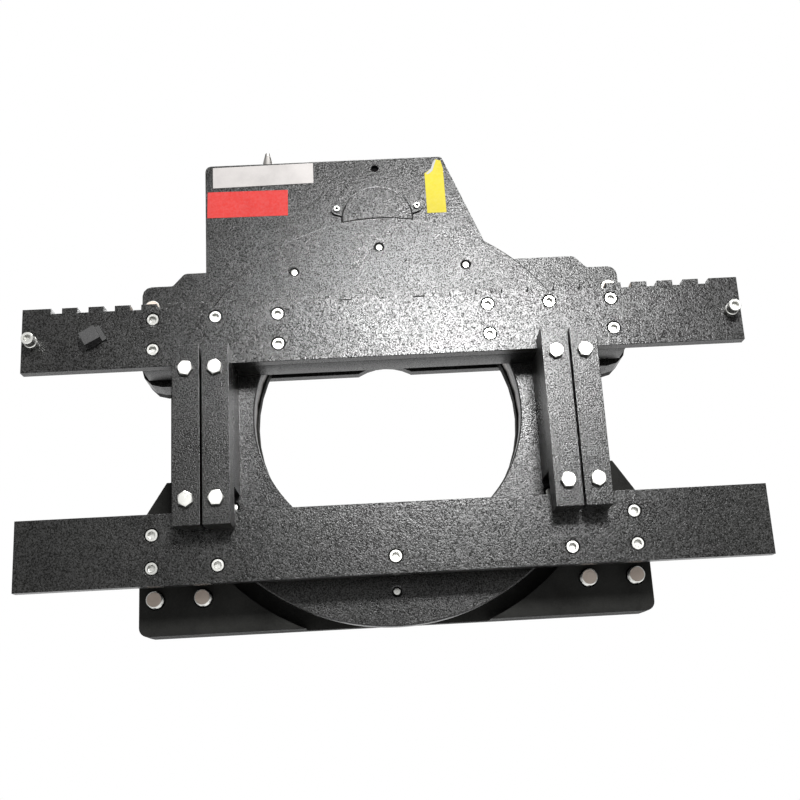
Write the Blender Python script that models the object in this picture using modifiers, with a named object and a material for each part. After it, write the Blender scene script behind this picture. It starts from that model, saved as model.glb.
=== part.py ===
# Forklift rotator with a class II fork carriage, built as separate pieces.
# World axes: +X to the right seen from the fork side, +Z up, the forks' side faces -Y.
# The origin lies on the rear bearing face of the upper hook bar, at mid width.
# Inside the assembly, local x is right, local y is up and local z points forward.
import bmesh
import bpy
from math import acos, asin, atan2, cos, pi, radians, sin, sqrt, tan
from mathutils import Matrix, Vector

MM = 0.001
FIT = 0.3 * MM
FLAT = radians(0.05)
MERGE = 0.02 * MM

# Sides of the round shapes
RIM_STEPS = 48
RACE_STEPS = 36
SHAFT_STEPS = 16
STUD_STEPS = 12
HEAD_STEPS = 8
SHANK_STEPS = 6

# Places along the depth, counted forward from the rear bearing face
HOOK_BAR_T = 18 * MM
BASE_T = 20 * MM
RING_T = 34 * MM
DISC_T = 22 * MM
SPACER_T = 46.5 * MM
FORK_BAR_T = 18 * MM
TIE_BAR_T = 45 * MM
COVER_T = 8 * MM

# Heights
AXIS_BELOW_ORIGIN = 130 * MM
FORK_BARS_BELOW_AXIS = 42 * MM

# Rotating disc and slewing ring
DISC_REACH = 23 * MM
WINDOW_STEP = 3 * MM
DISC_WINDOW_FLAT = 18 * MM
RING_BOLT_WALL = 12 * MM
RING_BOLT_COUNT = 12
RING_BOLT_R = 6 * MM
RING_BOLT_RECESS = 0.6 * MM
RING_BOLT_INSET = 20.5 * MM
RING_GAP = 2 * MM
BALL_R = 9 * MM
BALL_COUNT = 20
CAGE_T = 2.4 * MM
CAGE_W = 4 * MM
RACE_CLEARANCE = 1.6 * MM
INNER_RING_W = 39 * MM
INNER_RING_LIP = 1 * MM
GEAR_RING_T = 27 * MM
BASE_BOLT_INSET = 15 * MM
BASE_BOLT_COUNT = 8
BASE_BOLT_START = radians(22.5)
BASE_BOLT_R = 6 * MM

# Gears
GEAR_MODULE = 6 * MM
RING_TEETH = 94
PINION_TEETH = 12
PRESSURE_ANGLE = radians(25)
GEAR_BACKLASH = 0.7 * MM
PINION_T = 25 * MM
PINION_SHAFT_R = 17 * MM
WORM_MODULE = 3.5 * MM
WHEEL_TEETH = 30
WHEEL_T = 22 * MM
WHEEL_BACKLASH = 1.2 * MM
WORM_PITCH_R = 16.5 * MM
WORM_CORE_R = 12.6 * MM
WORM_THREAD_R = 2.5 * MM
WORM_TURNS = 5
WORM_JOURNAL_R = 10 * MM

# Fork carriage
CARRIAGE_H = 407 * MM
CARRIAGE_W = 1040 * MM
UPPER_BAR_H = 96 * MM
LOWER_BAR_H = 98.5 * MM
NOTCH_PITCH = 38 * MM
NOTCH_FIRST = 53 * MM
NOTCH_END = 30 * MM
NOTCH_W = 15.5 * MM
NOTCH_D = 8 * MM
CENTRE_NOTCH_R = 8 * MM
HOOK_ROOM = 13 * MM
SPACER_W = 700 * MM
SCREW_PITCH = 90 * MM
SCREW_COLUMNS = 3
SCREW_FROM_END = 17.5 * MM
SCREW_FROM_OUTER_EDGE = 24 * MM
UPPER_SCREW_FROM_EDGE = 26.5 * MM
LOWER_SCREW_FROM_EDGE = 29 * MM
SCREW_R = 6 * MM
SCREW_HEAD_R = 8.8 * MM
SCREW_HEAD_T = 12 * MM
SOCKET_R = 5.2 * MM
SOCKET_DEPTH = 6 * MM
COUNTERBORE_R = 10 * MM

# Tie bars and their rails
TIE_BAR_W = 37.4 * MM
TIE_BAR_LAP = 41.5 * MM
TIE_BAR_GAP = 3.2 * MM
TIE_BAR_INNER_X = 218.5 * MM
TIE_BARS_BELOW_CENTRE = 4 * MM
TIE_BOLT_FROM_END = 35.25 * MM
TIE_BOLT_R = 6 * MM
TIE_BOLT_FLATS = 19 * MM
TIE_BOLT_HEAD_T = 7.5 * MM
TIE_BOLT_REACH = 30 * MM
BOLT_TURN = radians(17)
RAIL_END_GAP = 1 * MM
RAIL_RELIEF_H = 32 * MM
RAIL_RELIEF_W = 15 * MM

# End stops and the plastic plug on the upper fork bar
STOP_FROM_END = 16 * MM
STOP_FROM_TOP = 52.5 * MM
STOP_STANDOFF = 14 * MM
STOP_COLLAR_R = 9.5 * MM
STOP_NECK = 4 * MM
PLUG_FROM_END = 102 * MM
PLUG_FROM_TOP = 48.5 * MM
PLUG_W = 27 * MM
PLUG_H = 24 * MM
PLUG_T = 20 * MM
PLUG_TURN = radians(28)
PLUG_FLANGE = 3 * MM
PLUG_STEM_R = 5 * MM
PLUG_STEM_L = 12 * MM

# Fixed frame outline, set out from the disc's rim, the hook and the gears
PANEL_LEFT_IN = 44 * MM
PANEL_TOP_RIGHT_X = 106 * MM
PANEL_RISE = 108 * MM
PANEL_FOOT_GAP = 0.8114 * MM
SHOULDER_RISE = 13.5 * MM
SHOULDER_STEP_H = 19.5 * MM
SHOULDER_IN = 11 * MM
SHOULDER_STEP_W = 18 * MM
EAR_OUT = 53 * MM
EAR_BOTTOM = 59 * MM
WAIST_OUT = 17 * MM
WAIST_LOW = -85 * MM
FLARE_OUT = 47 * MM
FLARE_H = 47 * MM
FOOT_OUT = 56 * MM
FOOT_STEP_H = 28 * MM
FOOT_SHORT = 5.5 * MM
CORNER_R = 13 * MM
PANEL_CORNERS = 3
COVER_ARC_GAP = 4 * MM
CORNER_ARC_GAP = 21.5 * MM
GEAR_ROOM_GAP = 8 * MM
PINION_ROOM_GAP = 5 * MM
LIFT_HOLE_R = 6.3 * MM
LIFT_HOLE_FROM_TOP = 16 * MM

# Pinion cover
DOME_LAP = 9 * MM
DOME_ABOVE_DISC = 2.5 * MM
DOME_T = 7 * MM
DOME_DISC_GAP = 2 * MM
DOME_SCREW_OUT = 6.5 * MM
DOME_SCREW_UP = 20 * MM
DOME_EAR_R = 9 * MM
DOME_SCREW_R = 3 * MM
DOME_SCREW_HEAD_R = 5 * MM
DOME_SCREW_HEAD_T = 4 * MM

# Carriage hooks at the rear
TRUCK_CARRIAGE_H = 407 * MM
HOOK_SEAT = 168 * MM
HOOK_ABOVE_SEAT = 38 * MM
HOOK_BELOW_SEAT = 84 * MM
HOOK_LIP_REACH = 32 * MM
HOOK_LIP_T = 14 * MM
HOOK_LIP_DROP = 12 * MM
HOOK_CLEARANCE = 1.5 * MM
HOOK_CHAMFER = 8 * MM
RELIEF_R = 79 * MM
RELIEF_D = 11.5 * MM
LUG_W = 15 * MM
LUG_H = 8 * MM
LUG_KEY = 4 * MM
LOWER_HOOK_W = 112 * MM
LOWER_HOOK_RISE = 50.5 * MM
STUD_R = 12 * MM
STUD_HEAD_R = 17 * MM
STUD_HEAD_T = 15 * MM
STUD_PROUD = 20 * MM
STUD_TIP = 2.5 * MM
UPPER_STUD_IN = 15.5 * MM
UPPER_STUD_ABOVE_SEAT = 16.5 * MM
LOWER_STUDS_IN = 57.5 * MM
LOWER_STUD_PITCH = 68 * MM
LOWER_STUD_BELOW_CLAW = 14.5 * MM

# Worm gear case and hydraulic motor behind the base plate
CASE_WALL = 10 * MM
CASE_HALF_W = 78 * MM
CASE_DEPTH = 84 * MM
CASE_BELOW_PINION = 68 * MM
CASE_ABOVE_WORM = 52 * MM
CASE_COVER_T = 8 * MM
CASE_SCREW_HEAD_R = 6.5 * MM
CASE_SCREW_HEAD_T = 8 * MM
WHEEL_DEPTH = 30 * MM
BEARING_W = 12 * MM
PINION_BEARING_R = 30 * MM
WORM_BEARING_R = 20 * MM
MOTOR_R = 38 * MM
MOTOR_L = 118 * MM
MOTOR_CAP_L = 16 * MM
MOTOR_FLANGE_R = 47 * MM
MOTOR_FLANGE_T = 14 * MM
MOTOR_FLANGE_TURN = radians(30)
MOTOR_EAR_R = 9 * MM
PORT_BLOCK_W = 42 * MM
PORT_BLOCK_L = 46 * MM
PORT_BLOCK_H = 14 * MM
PORT_PITCH = 22 * MM
PORT_ALONG_MOTOR = 90.4 * MM
PORT_R = 8 * MM
PORT_NUT_R = 11 * MM
PORT_NUT_H = 12 * MM
PORT_RISE = 71 * MM

# Levels worked out from the sizes above
BASE_REAR = HOOK_BAR_T + FIT
BASE_FRONT = BASE_REAR + BASE_T
RING_REAR = BASE_FRONT + FIT
RING_FRONT = RING_REAR + RING_T
GEAR_REAR = RING_FRONT - GEAR_RING_T
RACE_LEVEL = (GEAR_REAR + RING_FRONT) / 2
DISC_REAR = RING_FRONT + FIT
DISC_FRONT = DISC_REAR + DISC_T
SPACER_REAR = DISC_FRONT + FIT
SPACER_FRONT = SPACER_REAR + SPACER_T
FORK_REAR = SPACER_FRONT + FIT
FORK_FRONT = FORK_REAR + FORK_BAR_T
TIE_REAR = FORK_FRONT + FIT
TIE_FRONT = TIE_REAR + TIE_BAR_T
COVER_REAR = RING_FRONT + FIT
COVER_FRONT = COVER_REAR + COVER_T
CARRIAGE_Y = -FORK_BARS_BELOW_AXIS
PINION_Y = GEAR_MODULE * (RING_TEETH + PINION_TEETH) / 2
WHEEL_PITCH_R = WORM_MODULE * WHEEL_TEETH / 2
WORM_Y = PINION_Y + WHEEL_PITCH_R + WORM_PITCH_R
WORM_LEAD = pi * WORM_MODULE
CASE_FRONT = BASE_REAR - FIT
CASE_REAR = CASE_FRONT - CASE_DEPTH
WHEEL_Z = CASE_FRONT - CASE_WALL - WHEEL_DEPTH
MOTOR_FACE_X = -CASE_HALF_W - FIT
PORT_X = MOTOR_FACE_X - MOTOR_FLANGE_T - FIT - PORT_ALONG_MOTOR
PORT_TOP = WORM_Y + MOTOR_R + PORT_RISE

# Radii worked out from the gears
GEAR_TIP_R = GEAR_MODULE * (RING_TEETH / 2 + 1)
GEAR_ROOT_R = GEAR_MODULE * (RING_TEETH / 2 - 1.25)
DISC_R = GEAR_TIP_R + DISC_REACH
GEAR_ROOM_R = GEAR_TIP_R + GEAR_ROOM_GAP
PINION_ROOM_R = GEAR_MODULE * (PINION_TEETH / 2 + 1) + PINION_ROOM_GAP
COVER_ARC_R = DISC_R + COVER_ARC_GAP
CORNER_ARC_R = DISC_R + CORNER_ARC_GAP
RING_BOLT_CIRCLE_R = GEAR_ROOT_R - RING_BOLT_WALL
RING_BORE_R = RING_BOLT_CIRCLE_R - RING_BOLT_INSET
BALL_CIRCLE_R = RING_BORE_R - RING_GAP
INNER_RING_R = BALL_CIRCLE_R - RING_GAP
INNER_RING_BORE_R = INNER_RING_R - INNER_RING_W
BASE_BOLT_CIRCLE_R = INNER_RING_BORE_R + BASE_BOLT_INSET
WINDOW_R = INNER_RING_BORE_R - WINDOW_STEP
DISC_WINDOW_TOP = WINDOW_R - DISC_WINDOW_FLAT

# Places worked out from the disc, the hook and the fork carriage
HOOK_TOP = HOOK_SEAT + HOOK_ABOVE_SEAT
HOOK_BOTTOM = HOOK_SEAT - HOOK_BELOW_SEAT
CLAW_TOP = HOOK_SEAT - TRUCK_CARRIAGE_H - HOOK_CLEARANCE
SHOULDER_LOW = HOOK_TOP + SHOULDER_RISE
SHOULDER_HIGH = SHOULDER_LOW + SHOULDER_STEP_H
SHOULDER_HIGH_X = DISC_R - SHOULDER_IN
SHOULDER_LOW_X = SHOULDER_HIGH_X + SHOULDER_STEP_W
PANEL_LEFT_X = PANEL_LEFT_IN - DISC_R
PANEL_TOP = DISC_R + PANEL_RISE
PANEL_FOOT_X = sqrt((GEAR_ROOM_R + PANEL_FOOT_GAP) ** 2 - SHOULDER_HIGH ** 2)
LIFT_HOLE_HEIGHT = PANEL_TOP - LIFT_HOLE_FROM_TOP
EAR_X = DISC_R + EAR_OUT
WAIST_X = DISC_R + WAIST_OUT
FLARE_X = DISC_R + FLARE_OUT
FLARE_LOW = WAIST_LOW - FLARE_H
FOOT_X = DISC_R + FOOT_OUT
FOOT_TOP = FLARE_LOW - FOOT_STEP_H
FOOT_BOTTOM = FOOT_SHORT - DISC_R
UPPER_STUD_X = EAR_X - UPPER_STUD_IN
UPPER_STUD_Y = HOOK_SEAT + UPPER_STUD_ABOVE_SEAT
LOWER_STUD_X = FOOT_X - LOWER_STUDS_IN
LOWER_STUD_Y = CLAW_TOP - LOWER_STUD_BELOW_CLAW
LOWER_HOOK_TOP = CLAW_TOP + LOWER_HOOK_RISE
DOME_R = PINION_ROOM_R + DOME_LAP
DOME_CENTRE = DISC_R + DOME_ABOVE_DISC
DOME_SCREW_X = DOME_R + DOME_SCREW_OUT
DOME_SCREW_HEIGHT = DOME_CENTRE + DOME_SCREW_UP
UPPER_BAR_LOW = CARRIAGE_H / 2 - UPPER_BAR_H
LOWER_BAR_HIGH = LOWER_BAR_H - CARRIAGE_H / 2
NOTCH_COUNT = 1 + int((CARRIAGE_W / 2 - NOTCH_END - NOTCH_FIRST) / NOTCH_PITCH)
SCREW_OUTER_ROW = CARRIAGE_H / 2 - SCREW_FROM_OUTER_EDGE
STOP_X = CARRIAGE_W / 2 - STOP_FROM_END
STOP_HEIGHT = CARRIAGE_H / 2 - STOP_FROM_TOP
PLUG_X = PLUG_FROM_END - CARRIAGE_W / 2
PLUG_HEIGHT = CARRIAGE_H / 2 - PLUG_FROM_TOP
TIE_BAR_L = UPPER_BAR_LOW - LOWER_BAR_HIGH + TIE_BAR_LAP
TIE_BOLT_PITCH = TIE_BAR_L - 2 * TIE_BOLT_FROM_END


def clear_scene():
    for item in list(bpy.data.objects):
        bpy.data.objects.remove(item, do_unlink=True)


def new_collection(name):
    made = bpy.data.collections.new(name)
    bpy.context.scene.collection.children.link(made)
    return made


def finish(name, colour, roughness, metallic):
    made = bpy.data.materials.new(name)
    made.use_nodes = True
    shader = made.node_tree.nodes["Principled BSDF"]
    shader.inputs["Base Color"].default_value = (*colour, 1)
    shader.inputs["Roughness"].default_value = roughness
    shader.inputs["Metallic"].default_value = metallic
    return made


def axis_empty(name, place, parent=None, turn=(0, 0, 0)):
    made = bpy.data.objects.new(name, None)
    made.location = place
    made.rotation_euler = turn
    made.parent = parent
    parts.objects.link(made)
    return made


def face_outward(work):
    bmesh.ops.recalc_face_normals(work, faces=work.faces)
    if work.calc_volume(signed=True) < 0:
        bmesh.ops.reverse_faces(work, faces=work.faces)


def evaluated_mesh(thing):
    bpy.context.view_layer.update()
    graph = bpy.context.evaluated_depsgraph_get()
    mesh = bpy.data.meshes.new_from_object(thing.evaluated_get(graph))
    bpy.data.objects.remove(thing, do_unlink=True)
    work = bmesh.new()
    work.from_mesh(mesh)
    bmesh.ops.remove_doubles(work, verts=work.verts, dist=MERGE)
    bmesh.ops.dissolve_limit(work, angle_limit=FLAT, verts=work.verts, edges=work.edges)
    face_outward(work)
    work.to_mesh(mesh)
    work.free()
    return mesh


def temporary(name, data):
    thing = bpy.data.objects.new(name, data)
    bpy.context.scene.collection.objects.link(thing)
    return thing


def prism(outline, low, high):
    """A flat outline made solid between two heights."""
    work = bmesh.new()
    floor = [work.verts.new((x, y, low)) for x, y in outline]
    roof = [work.verts.new((x, y, high)) for x, y in outline]
    for i in range(len(outline)):
        work.faces.new((floor[i - 1], floor[i], roof[i], roof[i - 1]))
    work.faces.new(floor)
    work.faces.new(roof)
    face_outward(work)
    mesh = bpy.data.meshes.new("prism")
    work.to_mesh(mesh)
    work.free()
    return mesh


def plate(outlines, thickness, start=0.0):
    """A flat outline with its holes, thick along z from start."""
    body = prism(outlines[0], start, start + thickness)
    if len(outlines) == 1:
        return body
    return combined(body, joined([prism(hole, start - MM, start + thickness + MM) for hole in outlines[1:]]))


def turned(profile, steps):
    """A profile of (radius, height) points turned about z."""
    mesh = bpy.data.meshes.new("profile")
    closed = profile[0][0] > 0
    edges = [(i, i + 1) for i in range(len(profile) - 1)]
    if closed:
        edges.append((len(profile) - 1, 0))
    mesh.from_pydata([(r, 0, z) for r, z in profile], edges, [])
    thing = temporary("profile", mesh)
    screw = thing.modifiers.new("turn", "SCREW")
    screw.steps = steps
    screw.render_steps = steps
    screw.use_merge_vertices = True
    screw.merge_threshold = 0.00005
    screw.use_smooth_shade = True
    return evaluated_mesh(thing)


def box(low, high):
    work = bmesh.new()
    bmesh.ops.create_cube(work, size=1)
    size = [b - a for a, b in zip(low, high)]
    middle = [(a + b) / 2 for a, b in zip(low, high)]
    bmesh.ops.scale(work, vec=size, verts=work.verts)
    bmesh.ops.translate(work, vec=middle, verts=work.verts)
    mesh = bpy.data.meshes.new("box")
    work.to_mesh(mesh)
    work.free()
    return mesh


def joined(meshes):
    """Several meshes in one, still separate bodies."""
    work = bmesh.new()
    for mesh in meshes:
        work.from_mesh(mesh)
    made = bpy.data.meshes.new("group")
    work.to_mesh(made)
    work.free()
    return made


def moved(mesh, place, turn=None):
    """The mesh moved to a place, after an optional turn matrix."""
    if turn is not None:
        mesh.transform(turn)
    mesh.transform(Matrix.Translation(place))
    return mesh


def gathered(mesh, places):
    """Separate copies of one mesh, each moved by a matrix or an offset."""
    copies = []
    for spot in places:
        copy = mesh.copy()
        copy.transform(spot if isinstance(spot, Matrix) else Matrix.Translation(spot))
        copies.append(copy)
    return joined(copies)


def combined(first, second, operation="DIFFERENCE"):
    thing = temporary("body", first)
    tool = temporary("tool", second)
    step = thing.modifiers.new("cut", "BOOLEAN")
    step.object = tool
    step.operation = operation
    step.solver = "EXACT"
    mesh = evaluated_mesh(thing)
    bpy.data.objects.remove(tool, do_unlink=True)
    return mesh


def solid(name, mesh, look, parent, place=(0, 0, 0), turn=(0, 0, 0)):
    mesh.name = name
    mesh.shade_smooth()
    mesh.set_sharp_from_angle(angle=radians(32))
    mesh.materials.clear()
    mesh.materials.append(look)
    thing = bpy.data.objects.new(name, mesh)
    thing.location = place
    thing.rotation_euler = turn
    thing.parent = parent
    parts.objects.link(thing)
    return thing


def cut(thing, tool_mesh):
    tool = bpy.data.objects.new(thing.name + "_cutter", tool_mesh)
    tool.parent = thing.parent
    tool.location = thing.location
    tool.rotation_euler = thing.rotation_euler
    tool.hide_render = True
    tool.display_type = "WIRE"
    cutters.objects.link(tool)
    step = thing.modifiers.new("cut", "BOOLEAN")
    step.object = tool
    step.operation = "DIFFERENCE"
    step.solver = "EXACT"
    tidy = thing.modifiers.new("flat_faces", "DECIMATE")
    tidy.decimate_type = "DISSOLVE"
    tidy.angle_limit = FLAT


def circle(radius, steps, centre=(0, 0), start=0.0):
    angles = [start + 2 * pi * i / steps for i in range(steps)]
    return [(centre[0] + radius * cos(a), centre[1] + radius * sin(a)) for a in angles]


def bore(radius, steps, centre=(0, 0)):
    """A hole's outline, whose flats lie on its circle."""
    return circle(radius / cos(pi / steps), steps, centre)


def arc(radius, first, last, steps, centre=(0, 0)):
    angles = [first + (last - first) * i / steps for i in range(steps + 1)]
    return [(centre[0] + radius * cos(a), centre[1] + radius * sin(a)) for a in angles]


def rounded(corners, steps=3):
    """A closed outline from (x, y, corner radius) points."""
    outline = []
    count = len(corners)
    for i, (x, y, radius) in enumerate(corners):
        if radius == 0:
            outline.append((x, y))
            continue
        corner = Vector((x, y))
        before = (Vector(corners[i - 1][:2]) - corner).normalized()
        after = (Vector(corners[(i + 1) % count][:2]) - corner).normalized()
        half = before.angle(after) / 2
        reach = radius / tan(half)
        centre = corner + (before + after).normalized() * radius / sin(half)
        first = corner + before * reach - centre
        last = corner + after * reach - centre
        begin = atan2(first.y, first.x)
        sweep = (atan2(last.y, last.x) - begin + pi) % (2 * pi) - pi
        outline += arc(radius, begin, begin + sweep, steps, centre)
    return outline


def polar(radius, count, start=0.0):
    angles = [start + 2 * pi * i / count for i in range(count)]
    return [(radius * cos(a), radius * sin(a)) for a in angles]


def rod(radius, low, high, steps):
    return turned([(0, high), (radius, high), (radius, low), (0, low)], steps)


def rods(radius, low, high, steps, spots):
    """Round cutters, whose flats lie on their circle."""
    tool = rod(radius / cos(pi / steps), low, high, steps)
    return gathered(tool, [(x, y, 0) for x, y in spots])


def ring_mesh(inner, outer, low, high, steps):
    """A plain ring, whose bore has its flats on its circle."""
    inner = inner / cos(pi / steps)
    return turned([(outer, high), (outer, low), (inner, low), (inner, high)], steps)


def involute(angle):
    return tan(angle) - angle


def gear_outline(module, teeth, backlash, first_tooth, flank_steps=1):
    """Outline of a spur gear with involute flanks and one tooth at first_tooth."""
    pitch_r = module * teeth / 2
    base_r = pitch_r * cos(PRESSURE_ANGLE)
    tip_r = pitch_r + module
    root_r = pitch_r - 1.25 * module
    half_tooth = pi / (2 * teeth) - backlash / (4 * pitch_r)
    flank_low = max(base_r, root_r)
    radii = [flank_low + (tip_r - flank_low) * i / flank_steps for i in range(flank_steps + 1)]
    flank = [(root_r, half_tooth + involute(PRESSURE_ANGLE))] if root_r < base_r else []
    for radius in radii:
        spread = half_tooth + involute(PRESSURE_ANGLE) - involute(acos(min(1, base_r / radius)))
        flank.append((radius, spread))
    outline = []
    for i in range(teeth):
        middle = first_tooth + 2 * pi * i / teeth
        side = [(r, middle - a) for r, a in flank] + [(r, middle + a) for r, a in reversed(flank)]
        outline += [(r * cos(a), r * sin(a)) for r, a in side]
    return outline


def cap_screw(radius, head_r, head_t, reach):
    """Cap screw with its head's top at z = 0 and a hexagon socket."""
    depth = SOCKET_DEPTH * head_r / SCREW_HEAD_R
    socket = prism(circle(SOCKET_R * head_r / SCREW_HEAD_R, 6), -depth, depth)
    head = combined(rod(head_r, -head_t, 0, HEAD_STEPS), socket)
    shank = rod(radius, -head_t - reach, -(head_t + depth) / 2, SHANK_STEPS)
    return combined(head, shank, "UNION")


def lobed(radius, ear_r, reach):
    """A round outline with an ear above and below, joined by tangents."""
    lean = asin((radius - ear_r) / reach)
    right = arc(radius, -lean, lean, 4)
    top = arc(ear_r, lean, pi - lean, 6, (0, reach))
    half = right + top
    return half + [(-x, -y) for x, y in half]


def upper_outline():
    """Corners of the fixed frame above the ears' lower edge, clockwise from the panel."""
    right = [(PANEL_FOOT_X, SHOULDER_HIGH, 35 * MM), (SHOULDER_HIGH_X, SHOULDER_HIGH, 10 * MM)]
    steps = [(SHOULDER_LOW_X, SHOULDER_LOW, 6 * MM), (EAR_X, SHOULDER_LOW, 14 * MM)]
    ear = [(EAR_X, EAR_BOTTOM, 30 * MM)]
    left = [(-x, y, r) for x, y, r in reversed(right[1:] + steps + ear)]
    panel = [(PANEL_LEFT_X, SHOULDER_HIGH, 0), (PANEL_LEFT_X, PANEL_TOP, 9 * MM)]
    return panel + [(PANEL_TOP_RIGHT_X, PANEL_TOP, 6 * MM)] + right + steps + ear, left


def lower_corners():
    """Corners of the fixed frame's lower right side, top to bottom."""
    flare = [(WAIST_X, WAIST_LOW, 12 * MM), (FLARE_X, FLARE_LOW, 12 * MM), (FOOT_X, FOOT_TOP, 0)]
    return flare + [(FOOT_X, FOOT_BOTTOM, CORNER_R)]


def base_bolt_spots():
    return polar(BASE_BOLT_CIRCLE_R, BASE_BOLT_COUNT, BASE_BOLT_START)


def stud_spots():
    half = LOWER_STUD_PITCH / 2
    lower = [(side * (LOWER_STUD_X + offset), LOWER_STUD_Y) for side in (-1, 1) for offset in (-half, half)]
    upper = [(side * UPPER_STUD_X, UPPER_STUD_Y) for side in (-1, 1)]
    return upper, lower


def corners(points):
    return [(x, y, 0) for x, y in points]


def make_base_plate():
    top, left_ear = upper_outline()
    right = [(WAIST_X, EAR_BOTTOM, 0)] + lower_corners()
    left = [(-x, y, r) for x, y, r in reversed(right)]
    upper_studs, lower_studs = stud_spots()
    bolt_spots = base_bolt_spots()
    holes = [circle(WINDOW_R, RIM_STEPS), bore(PINION_BEARING_R + FIT, SHAFT_STEPS, (0, PINION_Y))]
    holes += [bore(BASE_BOLT_R + FIT, SHANK_STEPS, spot) for spot in bolt_spots]
    holes += [bore(STUD_R + FIT, STUD_STEPS, spot) for spot in upper_studs + lower_studs]
    outline = rounded(top + right + left + left_ear)
    solid("base_plate", plate([outline] + holes, BASE_T, BASE_REAR), black, frame)


def make_gear_housing():
    top, left_ear = upper_outline()
    upper_studs, _ = stud_spots()
    foot = asin(EAR_BOTTOM / GEAR_ROOM_R)
    inner = corners(arc(GEAR_ROOM_R, foot, pi - foot, 24))
    stud_holes = [bore(STUD_R + FIT, STUD_STEPS, spot) for spot in upper_studs]
    walls = plate([rounded(top + inner + left_ear)] + stud_holes, RING_T, RING_REAR)
    housing = solid("gear_housing", walls, black, frame)
    room_low = RING_REAR - MM
    room_high = RING_FRONT + MM
    pinion_room = moved(rod(PINION_ROOM_R, room_low, room_high, SHAFT_STEPS), (0, PINION_Y, 0))
    cut(housing, pinion_room)

    foot = asin(EAR_BOTTOM / COVER_ARC_R)
    corner = Vector((PANEL_FOOT_X, SHOULDER_HIGH))
    slope = (Vector((PANEL_TOP_RIGHT_X, PANEL_TOP)) - corner).normalized()
    along = corner.dot(slope)
    meet = corner + slope * (sqrt(along ** 2 + COVER_ARC_R ** 2 - corner.length_squared) - along)
    edge = corners(arc(COVER_ARC_R, atan2(meet.y, meet.x), pi - foot, 20))
    holes = stud_holes[:1] + [circle(LIFT_HOLE_R, HEAD_STEPS, (0, LIFT_HOLE_HEIGHT))]
    holes.append(circle(PINION_ROOM_R, SHAFT_STEPS, (0, PINION_Y)))
    screw_spots = [(side * DOME_SCREW_X, DOME_SCREW_HEIGHT) for side in (-1, 1)]
    holes += [bore(DOME_SCREW_R + FIT, SHANK_STEPS, spot) for spot in screw_spots]
    shape = [rounded(top[:PANEL_CORNERS] + edge + left_ear)] + holes
    solid("housing_cover", plate(shape, COVER_T, COVER_REAR), black, frame)
    edge = corners(arc(COVER_ARC_R, foot, asin(SHOULDER_HIGH / COVER_ARC_R), 8))
    shape = [rounded(top[PANEL_CORNERS + 1:] + edge)] + stud_holes[1:]
    solid("right_shoulder_plate", plate(shape, COVER_T, COVER_REAR), black, frame)


def make_pinion_cover():
    rear = COVER_FRONT + FIT
    edge_r = DISC_R + DOME_DISC_GAP
    meet_y = (edge_r ** 2 + DOME_CENTRE ** 2 - DOME_R ** 2) / (2 * DOME_CENTRE)
    meet_x = sqrt(edge_r ** 2 - meet_y ** 2)
    first = atan2(meet_y - DOME_CENTRE, meet_x)
    crown = arc(DOME_R, first, pi - first, 16, (0, DOME_CENTRE))
    side = atan2(meet_y, meet_x)
    lower_edge = arc(edge_r, pi - side, side, 12)[1:-1]
    dome = plate([crown + lower_edge], DOME_T, rear)
    for side in (-1, 1):
        spot = Vector((side * DOME_SCREW_X, DOME_SCREW_HEIGHT))
        root = spot.lerp(Vector((0, DOME_CENTRE)), 0.3)
        way = atan2(spot.y - root.y, spot.x - root.x)
        ear = arc(DOME_EAR_R, way - pi / 2, way + pi / 2, 10, spot)
        ear += arc(DOME_EAR_R, way + pi / 2, way + 1.5 * pi, 4, root)
        dome = combined(dome, plate([ear], DOME_T / 2, rear), "UNION")
    cover = solid("pinion_cover", dome, black, frame)
    spots = [(side * DOME_SCREW_X, DOME_SCREW_HEIGHT) for side in (-1, 1)]
    cut(cover, rods(DOME_SCREW_R + FIT, rear - MM, rear + DOME_T, SHANK_STEPS, spots))
    reach = DOME_T / 2 + COVER_T
    screw = cap_screw(DOME_SCREW_R, DOME_SCREW_HEAD_R, DOME_SCREW_HEAD_T, reach)
    top = rear + DOME_T / 2 + DOME_SCREW_HEAD_T + FIT
    for word, (x, y) in zip(("left", "right"), spots):
        solid("pinion_cover_" + word + "_screw", gathered(screw, [(x, y, top)]), zinc, frame)


def make_corner_plates():
    _, lower_studs = stud_spots()
    high = asin(WAIST_LOW / CORNER_ARC_R)
    low = asin(FOOT_BOTTOM / CORNER_ARC_R)
    arc_corners = corners(arc(CORNER_ARC_R, low, high, 10))
    right = lower_corners() + list(reversed(arc_corners))
    left = [(-x, y, r) for x, y, r in reversed(right)]
    for name, shape, side in (("lower_left_corner_plate", left, -1), ("lower_right_corner_plate", right, 1)):
        holes = [bore(STUD_R + FIT, STUD_STEPS, spot) for spot in lower_studs if spot[0] * side > 0]
        solid(name, plate([rounded(shape)] + holes, RING_T, RING_REAR), black, frame)


def race_profile(edge_r, away):
    """Points of a ball groove in a wall of radius edge_r, from front to rear."""
    groove_r = BALL_R + RACE_CLEARANCE
    half = acos((edge_r - BALL_CIRCLE_R) * away / groove_r)
    angles = [half - half * 2 * i / 3 for i in range(4)]
    return [(BALL_CIRCLE_R + away * groove_r * cos(a), RACE_LEVEL + groove_r * sin(a)) for a in angles]


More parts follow.
